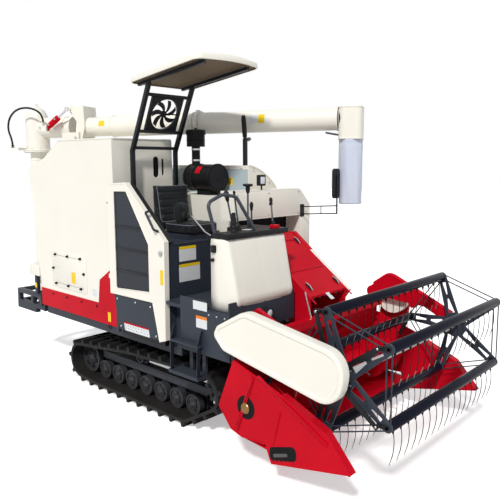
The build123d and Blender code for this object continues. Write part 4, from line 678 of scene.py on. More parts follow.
shells = [panel((0.930, 1.116), (-0.832, -0.112), 0.014, 1.7300, 1.7720, 0.008, "z", moulded, steps=4),
          panel((0.700, 0.932), (-0.450, -0.112), 0.012, 1.7295, 1.7715, 0.008, "z", moulded, steps=4),
          panel((0.700, 0.925), (-0.330, -0.134), 0.020, 1.1605, 1.7310, 0.004, "z", moulded),
          panel((0.952, 0.997), (1.622, 1.681), 0.008, -0.866, -0.845, 0.004, "y", moulded),
          head((0.022, 0.012, 0.014, 0.016, 0.0), (0.961, -0.845, 1.563), "y", moulded, 16)]
build("dash_top", shells, "chassis", "black_plastic", "controls")
dash_top_z = 1.7715
shells = [plate([(0.95, -0.52), (1.01, -0.50), (1.01, -0.43), (0.95, -0.45)], 0.006, dash_top_z,
                dash_top_z + 0.003, 0.001, "z", white, steps=1),
          panel((1.03, 1.09), (-0.27, -0.20), 0.006, dash_top_z, 1.80, 0.004, "z", red, steps=1)]
build("dash_foils", shells, "chassis", "black_plastic")

# Seat
# Bucket seat and side pad in black vinyl over foam: the CAD form drawn in a little and blown up as cloth,
# then pressed along its sewn channels, with a pale cord sewn round the edge.
vinyl = finish("seat_vinyl", (0.006, 0.008, 0.010), rough=0.5, vary=0.15, grain=(900, 0.35), sheen=0.08)
piping_grey = finish("piping_grey", (0.16, 0.18, 0.21), rough=0.5, grain=(400, 0.1))


def evaluated(piece):
    """A mesh of a piece as its modifiers leave it."""
    return bpy.data.meshes.new_from_object(piece.evaluated_get(bpy.context.evaluated_depsgraph_get()))


def stuffed(name, source, cap=0.012, channels=()):
    """A cushion from its CAD form. Cloth pressure swells it, no point further than cap.

    Each channel (axis, place, face axis, side) then sinks the side that looks along the face axis by
    8 mm exp(-((c - place) / 9 mm)^2).
    """
    low, high = (np.array(v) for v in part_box(source))
    middle, half = (low + high) / 2, (high - low) / 2
    data = nodes[source].data.copy()
    drawn_in = middle + (mesh_values(data.vertices) - middle) * (half - cap) / half
    data.vertices.foreach_set("co", drawn_in.ravel())
    piece = into_scene(name, data)
    voxel = piece.modifiers.new("voxel", "REMESH")
    voxel.mode = "VOXEL"
    voxel.voxel_size = 0.006
    solid = evaluated(piece)
    piece.modifiers.remove(voxel)
    piece.data = solid
    shape = mesh_values(solid.vertices)
    cloth = piece.modifiers.new("cloth", "CLOTH")
    cloth.settings.use_pressure = True
    cloth.settings.uniform_pressure_force = 4
    cloth.settings.effector_weights.gravity = 0
    cloth.collision_settings.use_collision = False
    for step in range(1, 21):
        scene.frame_set(step)
    shift = mesh_values(evaluated(piece).vertices) - shape
    far = np.linalg.norm(shift, axis=1, keepdims=True)
    shape = shape + shift * np.minimum(1, cap / np.maximum(far, 1e-9))
    piece.modifiers.remove(cloth)
    scene.frame_set(1)
    normals = mesh_values(solid.vertices, "normal")
    for axis, place, face, side in channels:
        weight = np.clip(normals[:, face] * side, 0, 1) * np.exp(-((shape[:, axis] - place) / 0.009) ** 2)
        shape = shape - normals * 0.008 * weight[:, None]
    solid.vertices.foreach_set("co", shape.ravel())
    solid.polygons.foreach_set("use_smooth", [True] * len(solid.polygons))
    solid.materials.clear()
    solid.materials.append(vinyl)
    solid.update()
    finer = piece.modifiers.new("finer", "SUBSURF")
    finer.levels = finer.render_levels = 1
    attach(piece, "chassis")
    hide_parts(source)
    return piece


def piping(name, piece, corners, radius):
    """A sewn cord laid round a cushion: each point of a rounded loop drawn to the nearest place on its skin."""
    loop = rounded(corners, radius, steps=6)
    line = []
    for a, b in zip(loop, np.roll(loop, -1, 0)):
        for share in np.linspace(0, 1, max(2, int(np.linalg.norm(b - a) / 0.02)), endpoint=False):
            line.append(list(piece.closest_point_on_mesh(a + (b - a) * share)[1]))
    line = np.array(line)
    for _ in range(2):
        line = (np.roll(line, 1, 0) + 2 * line + np.roll(line, -1, 0)) / 4
    up = (0.3, 0.2, 1) if np.ptp(line[:, 2]) < 0.1 else (1, 0.2, 0.1)
    build(name, [pipe(line, 0.004, piping_grey, up=up, sides=8, closed=True)], "chassis", "seat_vinyl")


cushion = stuffed("cushion_skin", "seat_cushion", channels=[(0, x, 2, 1) for x in (-0.04, 0.06, 0.16)])
low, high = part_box("seat_cushion")
edge = [(low.x, low.y, high.z), (high.x, low.y, high.z), (high.x, high.y, high.z), (low.x, high.y, high.z)]
piping("cushion_piping", cushion, edge, 0.06)
back = stuffed("back_skin", "seat_back", channels=[(2, z, 0, 1) for z in (1.83, 1.90, 1.97, 2.04)])
low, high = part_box("seat_back")
edge = [(-0.152, low.y, 1.76), (-0.152, high.y, 1.76), (-0.215, high.y, 2.12), (-0.215, low.y, 2.12)]
piping("back_piping", back, edge, 0.05)
stuffed("side_pad_skin", "side_pad", cap=0.010)

# Threshing housing and rest arm
# Cream sheet housing with its front hood, a round drum cover with a bolted flange, folded seams and a blank
# warning strip; the slate rest arm stands on it in a bolted cream bracket, its prong sleeved in black
# rubber.
repaint(cream, "thresher_housing")
repaint(slate, "straw_hood")
cleaner_black = finish("cleaner_black", (0.008, 0.008, 0.009), rough=0.42, vary=0.15, grain=(500, 0.15),
                       shine=0.12)
repaint(cleaner_black, "air_cleaner")
wall_y, drum_face = 0.247, 0.302
drum_y, drum_z, drum_r = 0.13, 1.628, 0.674
crown = drum_z + np.sqrt(drum_r ** 2 - (wall_y - drum_y) ** 2)
shells = [head(small_bolt, (x, wall_y, crown - 0.03), "y", bright, 10) for x in np.arange(-1.60, 0.29, 0.18)]
# Painted shade: the drum cover's cream wall towards the seat, as it looks in shadow, drawn as a pale blue-grey
# plate.
painted_shade_wall = finish("painted_shade_drum_wall", (0.42, 0.50, 0.53), rough=0.35, vary=0.03)
shells.append(panel((-1.60, 0.288), (2.004, 2.255), 0.006, wall_y - 0.0009, wall_y + 0.001, 0.0004, "y",
                    painted_shade_wall, steps=1))
shells.append(panel((-0.075, 0.075), (2.095, 2.170), 0.004, wall_y - 0.001, wall_y + 0.001, 0.0004, "y",
                    yellow, steps=1))
stripe, stripe_lean = 0.011, 0.015
for left in -0.06 + 2 * stripe * np.arange(5):
    corners = [(left, 2.10), (left + stripe, 2.10), (left + stripe_lean + stripe, 2.165),
               (left + stripe_lean, 2.165)]
    shells.append(plate(corners, 0.0005, wall_y - 0.0016, wall_y + 0.001, 0.0004, "y", black_steel, steps=1))
arc = np.radians(np.linspace(80, 2, 28))
flange_line = np.stack([drum_y + 0.676 * np.cos(arc), drum_z + 0.676 * np.sin(arc)], 1)
for x in (drum_face, -0.55, -1.70):
    shells.append(pipe(placed(flange_line, x, "x"), 0.007, cream, up=(1, 0, 0), sides=8))
for a in np.radians([74, 62, 50, 38, 26]):
    spot = (drum_face, drum_y + 0.645 * cos(a), drum_z + 0.645 * sin(a))
    shells.append(head((0.008, 0.007, 0.009, 0.004, 0.004), spot, "x", bright, 10, out=1))
build("drum_cover_trim", shells, "chassis", "cream_paint")

hood_x = 0.60
hood_plate = (hood_x - 0.001, hood_x + 0.003, 0.002)
shells = [panel((-0.235, 0.655), (1.815, 2.048), 0.02, *hood_plate, "x", cream, steps=2)]
for z in (1.83, 2.035):
    for y in (-0.22, 0.2, 0.64):
        shells.append(head((0.010, 0.007, 0.009, 0.006, 0.0), (hood_x, y, z), "x", bright, 10, out=1))
shells.append(panel((0.675, 0.825), (1.47, 1.78), 0.02, *hood_plate, "x", cream, steps=2))
# Painted shade: a flat dark plate in the recess below the hood.
shells.append(panel((-0.028, 0.668), (1.56, 1.795), 0.01, 0.4195, 0.4225, 0.001, "x", seams_and_painted_shade, steps=1))
build("hood_trim", shells, "chassis", "cream_paint")


def about(middle, half):
    """The range that reaches equally far on both sides of a middle."""
    return middle - half, middle + half


rest_x, rest_y = 0.128, 0.372
fork, beside = np.array([rest_x, rest_y, 2.545]), np.array([0.0638, 0.5076, 2.560])
prong = np.array([0.1494, 0.3268, 2.785]) - fork
shells = [head((0.008, 0.009, 0.011, 0.004, 0.002), (x, rest_y - 0.036, 2.255), "y", black_steel)
          for x in about(rest_x, 0.032)]
shells.append(panel(about(rest_x, 0.018), about(rest_y, 0.018), 0.003, 2.225, 2.560, 0.002, "z", slate))
shells.append(panel(about(rest_x, 0.050), about(rest_y, 0.036), 0.006, 2.195, 2.275, 0.003, "z", cream))
shells.append(pipe([fork, beside], 0.0195, slate, up=(0, 0, 1), sides=4))
shells.append(pipe(fork + prong * np.linspace(-0.04, 1, 4)[:, None], 0.017, slate, up=(1, 0, 0), sides=14))
sleeve = [0.022, 0.024, 0.024, 0.024, 0.024, 0.018]
shells.append(pipe(fork + prong * np.linspace(0.12, 1.0, 6)[:, None], sleeve, boot_rubber, up=(1, 0, 0),
                   sides=14))
build("rest_arm_parts", shells, "chassis", "slate_paint", "rest_arm")

# Canopy and fan
# Moulded roof shell in warm white over a brown inner skin, on two bent black posts with cross bars; between
# the posts turns a fan with seven dark, curved blades.
brown = finish("roof_lining", (0.16, 0.115, 0.070), rough=0.65, vary=0.2, grain=(120, 0.2))
repaint(black_steel, "canopy_frame")
roof_x, roof_y, roof_z = (-0.385, 0.64), (-0.655, 0.105), (3.045, 3.175)
slope = atan2(roof_z[1] - roof_z[0], roof_x[1] - roof_x[0])
length = hypot(roof_x[1] - roof_x[0], roof_z[1] - roof_z[0])
mid, half = sum(roof_y) / 2, (roof_y[1] - roof_y[0]) / 2
bow, recess, wall_in, depth, crown_fall = 0.060, 0.012, 0.014, 0.085, 0.016
corner_radius, most_inset = 0.090, 0.088


def roof_outline(inset):
    """Plan of the roof, its front bowed by bow (1 - s^2), s across it, moved in by inset."""
    s = np.linspace(-1, 1, 15)
    nose = np.stack([length - inset - bow * s ** 2, mid + (half - inset) * s], 1)
    radius = corner_radius - inset
    return rounded([(inset, mid + half - inset), (inset, mid - half + inset)] + nose.tolist(),
                   [radius] * 2 + [radius * 0.9] + [0] * 13 + [radius * 0.9], steps=6)


# The shell as rings of one count, each (inset, height): lining, lip, outer wall, rounded shoulder and the
# crown. The outline is moved in by 88 mm at most, and further rings are that outline made smaller about the
# middle. The crown falls to the sides by 16 mm (v / half)^2.
centre = np.array([length / 2 - bow / 3, mid])
rings = []
for inset, height in ((0.30, recess), (0.10, recess), (wall_in, recess), (wall_in - 0.001, 0.001),
                      (0.005, 0.0), (0.001, 0.002), (0.0, 0.010), (0.0, 0.034), (0.004, 0.046),
                      (0.014, 0.057), (0.030, 0.065), (0.055, 0.071), (0.10, 0.076), (0.18, 0.081),
                      (0.30, depth)):
    flat = roof_outline(min(inset, most_inset))
    if inset > most_inset:
        flat = centre + (flat - centre) * (1 - (inset - most_inset) / (half - most_inset) * 0.9)
    fall = crown_fall * ((flat[:, 1] - mid) / half) ** 2 * (height > 0.05)
    rings.append(np.c_[flat, height - fall])
around = len(rings[0])
points = np.concatenate(rings)
u, w = points[:, 0].copy(), points[:, 2].copy()
points[:, 0] = roof_x[0] + u * cos(slope) - w * sin(slope)
points[:, 2] = roof_z[0] + u * sin(slope) + w * cos(slope)
faces, (lining_lid, crown_lid) = tiles(len(rings), around), lids(len(rings), around)
inside = faces[:3 * around] + [lining_lid]
outside = faces[3 * around:] + [crown_lid]
build("canopy_shell", [(points, inside, brown), (points, outside, cream)], "chassis", "cream_paint",
      "canopy_roof", smooth=50)

# The fan stands square to the posts, which lean by 0.283 m between their bend and the roof.
fan_low, fan_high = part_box("fan_rotor")
fan_at = np.array([(fan_low.x + fan_high.x) / 2, -0.31, (fan_low.z + fan_high.z) / 2])
post_bend, post_run = 2.43, 0.283
post_top = roof_z[0] + (roof_z[1] - roof_z[0]) * 0.213 / 1.025 - 0.026
post_tilt = atan2(post_run, post_top - post_bend)
face = np.array([cos(post_tilt), 0, -sin(post_tilt)])
rise = np.array([-face[2], 0, face[0]])
across = np.array([0, 1.0, 0])
blade_root, blade_tip = 0.028, 0.142


def blade(start):
    """One fan blade: it curves by 0.5 rad from root to tip and is pitched, 3 mm off the plane at each edge."""
    r = np.linspace(blade_root, blade_tip, 9)
    angle = start + 0.5 * ((r - blade_root) / (blade_tip - blade_root)) ** 1.3
    half_wide = np.interp(r, [blade_root, 0.06, 0.11, blade_tip], [0.30, 0.30, 0.235, 0.16])
    rows = []
    for edge in (-1, 1):
        b = angle + edge * half_wide
        ray = np.cos(b)[:, None] * across + np.sin(b)[:, None] * rise
        rows.append(fan_at + edge * 0.0030 * face + r[:, None] * ray)
    thick = 0.0012 * face
    sheet = np.stack([rows[0] - thick, rows[1] - thick, rows[1] + thick, rows[0] + thick], 1)
    return sheet.reshape(-1, 3), tiles(9, 4) + lids(9, 4), black_steel


shells = [blade(k * 2 * pi / 7) for k in range(7)]
hub_line = fan_at + face * np.array([-0.0048, -0.0040, 0.0040, 0.0048])[:, None]
shells.append(rod(hub_line, [0.026, 0.030, 0.030, 0.024], moulded, 28))
build("fan_blades", shells, "fan", "black_plastic", "fan_rotor")


def arc_strip(degrees, outer, inner):
    """Section of a bent foil: an arc of nine points out and nine back, between two angles."""
    a = np.radians(np.linspace(*degrees, 9))
    arc = np.stack([np.cos(a), np.sin(a)], 1)
    return np.concatenate([arc * outer, arc[::-1] * inner])


# Air cleaner: three collars, end cap, neck with two clamps, bowl seam and lid, and a blank red label.
body, neck = (0, 0.072, 2.171), (-0.277, 0.072, 0)
shells = []
for x in (-0.318, -0.210, 0.040):
    collar = [(0.1325, x - 0.009), (0.139, x - 0.009), (0.1395, x + 0.009), (0.1325, x + 0.009)]
    shells.append(lathe(collar, body, "x", black_steel, 40))
cap = [(0.126, 0.053), (0.118, 0.0565), (0.10, 0.0570), (0.022, 0.0585), (0.018, 0.068), (0, 0.068)]
shells.append(lathe(cap, body, "x", moulded, 36))
for z in (2.335, 2.444):
    shells.append(lathe([(0.042, z), (0.0455, z), (0.0455, z + 0.017), (0.042, z + 0.017)], neck, "z",
                        bright, 24))
shells.append(lathe([(0.092, 2.537), (0.0935, 2.539), (0.0935, 2.545), (0.092, 2.547)], neck, "z", seams_and_painted_shade,
                    32))
lid = [(0.100, 2.630), (0.100, 2.6402), (0.090, 2.6485), (0.03, 2.652), (0, 2.652)]
shells.append(lathe(lid, neck, "z", moulded, 36))
label = arc_strip((-200, -236), 0.1335, 0.133) + body[1:]
shells.append((np.concatenate([placed(label, x, "x") for x in (-0.16, -0.09)]), tiles(2, 18) + lids(2, 18),
               red))
build("cleaner_trim", shells, "chassis", "black_plastic")

# Unloading auger
# Rolled steel tube in warm white gloss: standing pipe, domed elbow on a bolted turning flange, long tube
# with end rings and blank foils, spout with its stay rods; red lift cylinder, chromed rod, black ribbed
# hose, cloth sock.
chrome = finish("hard_chrome", (0.72, 0.72, 0.74), rough=0.12, metal=1.0, vary=0.03, grain=(500, 0.02))
bronze = finish("bronze_bush", (0.33, 0.20, 0.08), rough=0.35, metal=1.0, vary=0.2, grain=(300, 0.1))
hose_rubber = finish("hose_rubber", (0.008, 0.008, 0.009), rough=0.5, vary=0.1, grain=(300, 0.1))
repaint(cream, "auger_elbow", "unload_tube")
repaint(red, "tube_lift_barrel")
repaint(chrome, "tube_lift_rod")
turn = radians(25.35)
pivot = np.array([-2.28, -0.57, 0.0])
ahead = np.array([cos(turn), sin(turn), 0.0])
aside = np.array([-sin(turn), cos(turn), 0.0])
upward = np.array([0, 0, 1.0])
elbow_z = 2.712


def at(s, side, z):
    """A point from the turning axis: along the tube, to its left, and up."""
    return pivot + s * ahead + side * aside + z * upward


def tube_middle(s):
    """Middle of the long tube, which rises 36 mm from 0.62 to 3.51 m."""
    return at(s, 0, elbow_z + 0.036 * (s - 0.62) / 2.89)


def tube_foil(s, degrees_up, material, radius=0.112):
    """A thin foil bent round the tube between two places along it and two angles from its near side upwards."""
    strip = arc_strip(degrees_up, radius + 0.0014, radius - 0.002)
    rings = [tube_middle(place) - strip[:, :1] * aside + strip[:, 1:] * upward for place in s]
    return np.concatenate(rings), tiles(2, 18) + lids(2, 18), material


theta = np.radians(np.linspace(0, 90, 10))
dome = np.stack([0.1285 * np.cos(theta), 2.768 + 0.182 * np.sin(theta)], 1)
dome[-1, 0] = 0
flange_low, flange_top = 2.439, 2.470
bolt_angles = 2 * pi * np.arange(10) / 10 + 0.3
bolt_spots = pivot + 0.1465 * np.stack([np.cos(bolt_angles), np.sin(bolt_angles), 0 * bolt_angles], 1)
upper_flange = [(0.126, 2.4555), (0.160, 2.4555), (0.161, 2.457), (0.161, 2.468), (0.160, flange_top),
                (0.126, flange_top)]
lower_flange = [(0.088, flange_low), (0.160, flange_low), (0.161, 2.441), (0.161, 2.4525), (0.160, 2.454),
                (0.088, 2.454)]
shells = [lathe(dome, pivot, "z", cream, 40), hoop(pivot + 2.964 * upward, 0.024, 0.006, cream, "y"),
          lathe(upper_flange, pivot, "z", cream, 48)]
for spot in bolt_spots:
    shells.append(head((0.010, 0.008, 0.010, 0.006, 0.0), spot + flange_top * upward, "z", bright, out=1))
shells.append(pipe([at(0.12, -0.114, elbow_z), at(0.12, -0.126, elbow_z)], [0.012, 0.010], bright, sides=6))
for s in (0.40, 0.482):
    shells.append(pipe([at(s, 0, elbow_z), at(s + 0.012, 0, elbow_z)], 0.1215, cream, sides=40))
build("elbow_trim", shells, "turret", "cream_paint")
shells = [lathe(lower_flange, pivot, "z", cream, 48)]
for spot in bolt_spots:
    shells.append(head((0.009, 0.008, 0.009, 0.006, 0.001), spot + flange_low * upward, "z", bright))
for z in (1.10, 1.75, 2.36):
    band = [(0.0895, z - 0.014), (0.0935, z - 0.012), (0.0935, z + 0.012), (0.0895, z + 0.014)]
    shells.append(lathe(band, pivot, "z", cream, 40))
build("standing_pipe_trim", shells, "chassis", "cream_paint")

# Rings round the long tube, three bolts of its middle flange, foils, end seal, stay rods, pin and the
# spout's beads.
shells = []
for s, wide, r in ((0.995, 0.012, 0.117), (1.960, 0.010, 0.121), (2.048, 0.010, 0.121),
                   (3.490, 0.014, 0.121)):
    shells.append(pipe([tube_middle(s - wide / 2), tube_middle(s + wide / 2)], r, cream, sides=44))
for side, up in ((-0.12555, -0.017), (-0.0372, 0.131), (-0.1023, 0.081)):
    ends = [tube_middle(s) + side * aside + up * upward for s in about(2.010, 0.022)]
    shells.append(pipe(ends, 0.007, bright, sides=6))
shells += [tube_foil((2.61, 2.69), (-12, 34), white), tube_foil((2.695, 2.76), (-12, 34), yellow),
           tube_foil((0.86, 0.93), (0, 34), yellow, 0.104),
           pipe([tube_middle(3.499), tube_middle(3.507)], 0.1145, black_steel, sides=44)]
for side in (-0.075, 0.02):
    start, end = at(3.38, side, 2.612), at(3.545, side, 2.583)
    shells.append(pipe(np.linspace(start, end, 3), 0.009, slate, sides=10))
    shells.append(pipe([end - 0.016 * ahead, end + 0.004 * ahead], 0.011, bright, sides=6))
shells.append(pipe([at(0.600, -0.144, 2.590), at(0.600, -0.156, 2.590)], 0.016, bright, sides=18))
spout_s, spout_half, spout_z = (3.504, 3.736), 0.116, (2.547, 2.862)
rim = rounded([(spout_s[0], -spout_half), (spout_s[1], -spout_half), (spout_s[1], spout_half),
               (spout_s[0], spout_half)], 0.06, steps=6)
for z in (spout_z[0] + 0.006, spout_z[1] - 0.007):
    shells.append(pipe([at(s, side, z) for s, side in rim], 0.005, cream, sides=8, closed=True))
build("tube_trim", shells, "unload_tube", "cream_paint")

base, eye_place = np.array([0.260, 2.692]), np.array([0.530, 2.900])
way = (eye_place - base) / np.linalg.norm(eye_place - base)


def on_cylinder(far):
    """A point of the lift cylinder's axis."""
    return at(base[0] + way[0] * far, -0.185, base[1] + way[1] * far)


shells = []
for places, radii in (((0.055, 0.058, 0.192, 0.196), [0.029, 0.0325, 0.0325, 0.029]),
                      ((0.036, 0.038, 0.048, 0.050), [0.024, 0.0265, 0.0265, 0.024])):
    shells.append(pipe([on_cylinder(far) for far in places], radii, red, sides=28))
for far in (0.065, 0.165):
    shells.append(pipe([on_cylinder(far) - out * aside for out in (0.02, 0.037)], [0.010, 0.009], bright,
                       sides=6))
build("tube_cylinder_trim", shells, "tube_lift_barrel", "red_paint")

# The hose: its route bends in every plane, so its line is one smooth spline; ribs every 9 mm swell it by 6
# percent.
hose_r, rib_pitch, hose_step = 0.0105, 0.009, 0.0022
route = [(-0.170, -0.223, 2.4853), (-0.170, -0.223, 2.565), (-0.225, -0.225, 2.690), (-0.190, -0.229, 2.825),
         (-0.080, -0.232, 2.912), (0.070, -0.232, 2.925), (0.200, -0.229, 2.880), (0.250, -0.225, 2.800),
         (0.250, -0.225, 2.7203)]
curve = bpy.data.curves.new("hose_line", "CURVE")
curve.dimensions = "3D"
curve.resolution_u = 24
spline = curve.splines.new("NURBS")
spline.points.add(len(route) - 1)
for point, place in zip(spline.points, route):
    point.co = (*at(*place), 1)
spline.order_u = 3
spline.use_endpoint_u = True
holder = bpy.data.objects.new("hose_line", curve)
trace = mesh_values(bpy.data.meshes.new_from_object(holder).vertices)
bpy.data.objects.remove(holder)
run = np.r_[0, np.cumsum(np.linalg.norm(np.diff(trace, axis=0), axis=1))]
steps = np.linspace(0, run[-1], int(run[-1] / hose_step))
line = np.stack([np.interp(steps, run, trace[:, k]) for k in range(3)], 1)
ribs = hose_r * (1 + 0.06 * np.cos(2 * pi * steps / rib_pitch))
hose = build("ribbed_hose", [pipe(line, ribs, hose_rubber, up=tuple(aside), sides=14)], "turret", "rubber",
             "lift_hose", smooth=60)
shells = [hoop(at(-0.170, -0.223, z), 0.0150, 0.0045, black_steel, "z", twist=turn) for z in (2.490, 2.510)]
nut = [at(0.250, -0.225, 2.7203), at(0.250, -0.225, 2.760)]
shells.append(pipe(nut, 0.0135, bright, up=(1, 0, 0), sides=6))
build("hose_clamps", shells, "turret", "black_steel")

# The sock: coated cloth, cut 0.70 by 0.632 m and sewn to a tube, tied at the top; soft folds deepen towards
# its open end. Radius: R (1 - 0.10 h^0.7 (1 - cos(5 t + 2 h)) / 2 + 0.022 h^0.5 cos(9 t - 4 h)), h from 0
# at the tie to 1, less 4 mm exp(-((h - 0.055) / 0.018)^2) where the tie draws it in.
sock_cloth = finish("sock_cloth", (0.55, 0.60, 0.72), rough=0.55, vary=0.04, grain=(600, 0.25), sheen=0.2)
sock_r, sock_top, sock_long, tie_z = 0.1195, 2.5465, 0.632, 2.512
middle = at(3.62, 0, 0)
rows, around = 46, 96
h = np.linspace(0, 1, rows)[:, None]
t = np.linspace(0, 2 * pi, around, endpoint=False)[None]
deep, fine = 0.10 * h ** 0.7 * (1 - np.cos(5 * t + 2 * h)) / 2, 0.022 * h ** 0.5 * np.cos(9 * t - 4 * h)
r = sock_r * (1 - deep + fine) - 0.004 * np.exp(-((h - 0.055) / 0.018) ** 2) - 0.0005
z = np.broadcast_to(sock_top - h * sock_long, r.shape)
points = np.stack([middle[0] + r * np.cos(t), middle[1] + r * np.sin(t), z], -1).reshape(-1, 3)
sock = skin("spout_sock", points, tiles(rows, around), sock_cloth, 0.0015)
work = bmesh.new()
work.from_mesh(sock.data)
bmesh.ops.recalc_face_normals(work, faces=work.faces)
work.to_mesh(sock.data)
work.free()
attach(sock, "unload_tube")
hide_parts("sock")
band = hoop(middle + tie_z * upward, 0.1105, 0.0032, black_steel, "z", 48)
tie = build("sock_tie", [band], "unload_tube", "black_steel")

# Feeder house and header
# Welded red sheet: feeder with rounded long edges, ribs and latches; platform, cross auger with spiral
# flights and fingers, and side plates with a folded rib, flanged divider edge, rivets, bearing ring and a
# recess for the knife drive, darkened with painted shade; steel knife.
repaint(red, "feeder_house", "header_frame", "drive_covers")
repaint(bright, "knife_bar")
repaint(black_steel, "header_lift_barrel", "reel_lift_barrels")
repaint(chrome, "header_lift_rod", "reel_lift_rods")
incline, lift_x, lift_z = radians(35.8), 0.620, 1.500
top = 0.165


def feeder_at(along, y, up):
    """A point from the lift axis: along the feeder house, across, and up from its middle."""
    return np.array([lift_x + along * cos(incline) + up * sin(incline), y,
                     lift_z - along * sin(incline) + up * cos(incline)])


def on_feeder(u, v, radius, low, high, edge, material, steps=3):
    """A flat plate drawn as (along, y) at heights from the feeder's top, laid on its slope."""
    points, faces, material = panel(u, v, radius, top + low, top + high, edge, "z", material, steps=steps)
    return np.array([feeder_at(*p) for p in points]), faces, material


shells = []
for y in (-0.0885, 0.4385):
    shells.append(rod([feeder_at(a, y, top - 0.0015) for a in np.linspace(0.02, 0.84, 4)], 0.0065, red, 10))
for a in (0.07, 0.45):
    shells.append(on_feeder((a, a + 0.012), (-0.075, 0.425), 0.001, -0.001, 0.005, 0.003, red, 2))
shells.append(on_feeder((-0.03, 0.79), (0.4415, 0.489), 0.006, -0.020, 0.0035, 0.002, cream, 1))
shells.append(on_feeder((0.755, 0.835), (0.13, 0.18), 0.003, -0.001, 0.0012, 0.0005, white, 1))
for a, y in ((0.096, 0.384), (0.655, 0.392), (0.655, 0.0)):
    shells.append(on_feeder(about(a, 0.035), about(y, 0.014), 0.004, 0, 0.014, 0.004, black_steel))
    latch = [feeder_at(a + shift, y, top + up) for shift, up in ((-0.05, 0.012), (0, 0.022), (0.045, 0.010))]
    shells.append(rod(latch, 0.004, bright))
for y in np.linspace(-0.06, 0.41, 7):
    bolt = [feeder_at(0.785, y, top + up) for up in (-0.001, 0.005)]
    shells.append(rod(bolt, [0.008, 0.006], black_steel))
shells.append(rod([(1.286, -0.1, 1.232), (1.353, -0.1, 1.017)], 0.008, bright, 10))
build("feeder_trim", shells, "header", "red_paint")

auger_x, auger_z, flight_r, core_r, pitch = 1.459, 0.538, 0.204, 0.095, 0.240


def flight(start, end, turn_way):
    """Sheet spiral on the cross auger, 5 mm thick: r (cos a, sin a), a = 0.4 + way 2 pi |y - start| / pitch."""
    y = np.linspace(start, end, int(abs(end - start) / pitch * 40) + 1)
    a = 0.4 + turn_way * 2 * pi * np.abs(y - start) / pitch
    ray = np.stack([np.cos(a), 0 * a, np.sin(a)], 1)
    middle = np.stack([auger_x + 0 * y, y, auger_z + 0 * y], 1)
    foot, rim, half = middle + ray * (core_r - 0.004), middle + ray * flight_r, np.array([0, 0.0025, 0])
    rows = np.stack([foot - half, rim - half, rim + half, foot + half], 1)
    return rows.reshape(-1, 3), tiles(len(y), 4) + lids(len(y), 4), red


core = [(0.028, -1.015), (0.028, -0.972), (core_r, -0.970), (core_r, 0.970), (0.028, 0.972), (0.028, 1.015)]
shells = [lathe(core, (auger_x, 0, auger_z), "y", red, 48), flight(-0.915, -0.100, 1),
          flight(0.915, 0.450, -1)]
for k in range(8):
    a = radians(150 * k)
    root, out = np.array([auger_x, -0.055 + k * 0.066, auger_z]), np.array([cos(a), 0, sin(a)])
    shells.append(rod([root + 0.09 * out, root + 0.192 * out], 0.008, cast, 10))
build("cross_auger", shells, "header_auger", "red_paint", "header_auger")

plate_y = -1.0


def raised(corners, radius, out, edge, material, steps):
    """A plate that stands out from the header's right side plate."""
    return plate(corners, radius, plate_y - out, plate_y + 0.001, edge, "y", material, steps=steps)


def folded(corners, radius, thick, material, sides, drop=0.0):
    """A folded edge along open corners of the right side plate."""
    line = rounded(corners, radius, closed=False) - (0, drop)
    return rod(placed(line, plate_y + 0.001, "y"), thick, material, sides)


rivet = [(0, -0.0035), (0.004, -0.0032), (0.0065, -0.0015), (0.007, 0.001)]
bearing = [(0.0285, -0.017), (0.036, -0.017), (0.041, -0.012), (0.043, -0.001), (0.0285, -0.001)]
long_rib = [(1.346, 0.345), (1.376, 0.335), (1.548, 0.780), (1.520, 0.793)]
divider_edge = [(1.338, 0.868), (1.794, 0.7225), (2.177, 0.5635), (2.373, 0.3415)]
lower_edge = [(1.180, 0.478), (1.302, 0.334), (1.416, 0.305), (1.652, 0.320)]
slant_rib = [(1.580, 0.800), (2.195, 0.480), (2.204, 0.498), (1.589, 0.822)]
short_rib = [(1.716, 0.334), (1.731, 0.345), (1.797, 0.598), (1.781, 0.606)]
knife_recess = [(1.690, 0.206), (1.936, 0.286), (1.933, 0.392), (1.690, 0.314)]
knife_drive = [(1.730, 0.250), (1.860, 0.295), (1.858, 0.320), (1.728, 0.276)]
shells = [raised(long_rib, 0.004, 0.012, 0.008, red, 4),
          folded(divider_edge, 0.06, 0.0075, red, 10, drop=0.002),
          folded(lower_edge, 0.03, 0.006, red, 8),
          raised(slant_rib, 0.003, 0.012, 0.004, red, 2),
          raised(short_rib, 0.003, 0.008, 0.004, red, 3),
          # Painted shade: the knife drive's recess is a flat dark plate.
          raised(knife_recess, 0.035, 0.0012, 0.0005, seams_and_painted_shade, 1),
          raised(knife_drive, 0.010, 0.006, 0.002, cast, 2)]
for s in np.linspace(0.06, 0.94, 9):
    shells.append(lathe(rivet, (1.720 + 0.36 * s, plate_y, 0.225 + 0.082 * s), "y", red, 10))
for s in np.linspace(0.05, 0.95, 7):
    shells.append(lathe(rivet, (1.62 + 0.56 * s, plate_y, 0.762 - 0.291 * s), "y", red, 10))
    shells.append(lathe(rivet, (1.365 + 0.165 * s, plate_y - 0.011, 0.36 + 0.425 * s), "y", red, 10))
# Painted shade: a dark ring round the auger bearing, where the side plate's opening is.
disc = [(0.0285, -0.0025), (0.087, -0.0025), (0.089, 0.001), (0.0285, 0.001)]
shells.append(lathe(disc, (1.457, plate_y, 0.541), "y", seams_and_painted_shade, 40))
shells.append(lathe(bearing, (auger_x, plate_y, auger_z), "y", bronze, 32))
inner_edge = rounded([(1.651, -0.932, 0.764), (2.151, -0.932, 0.509), (2.331, -0.932, 0.293)], 0.06,
                     closed=False)
shells.append(rod(inner_edge, 0.006, red))
build("side_plate_trim", shells, "header", "red_paint")

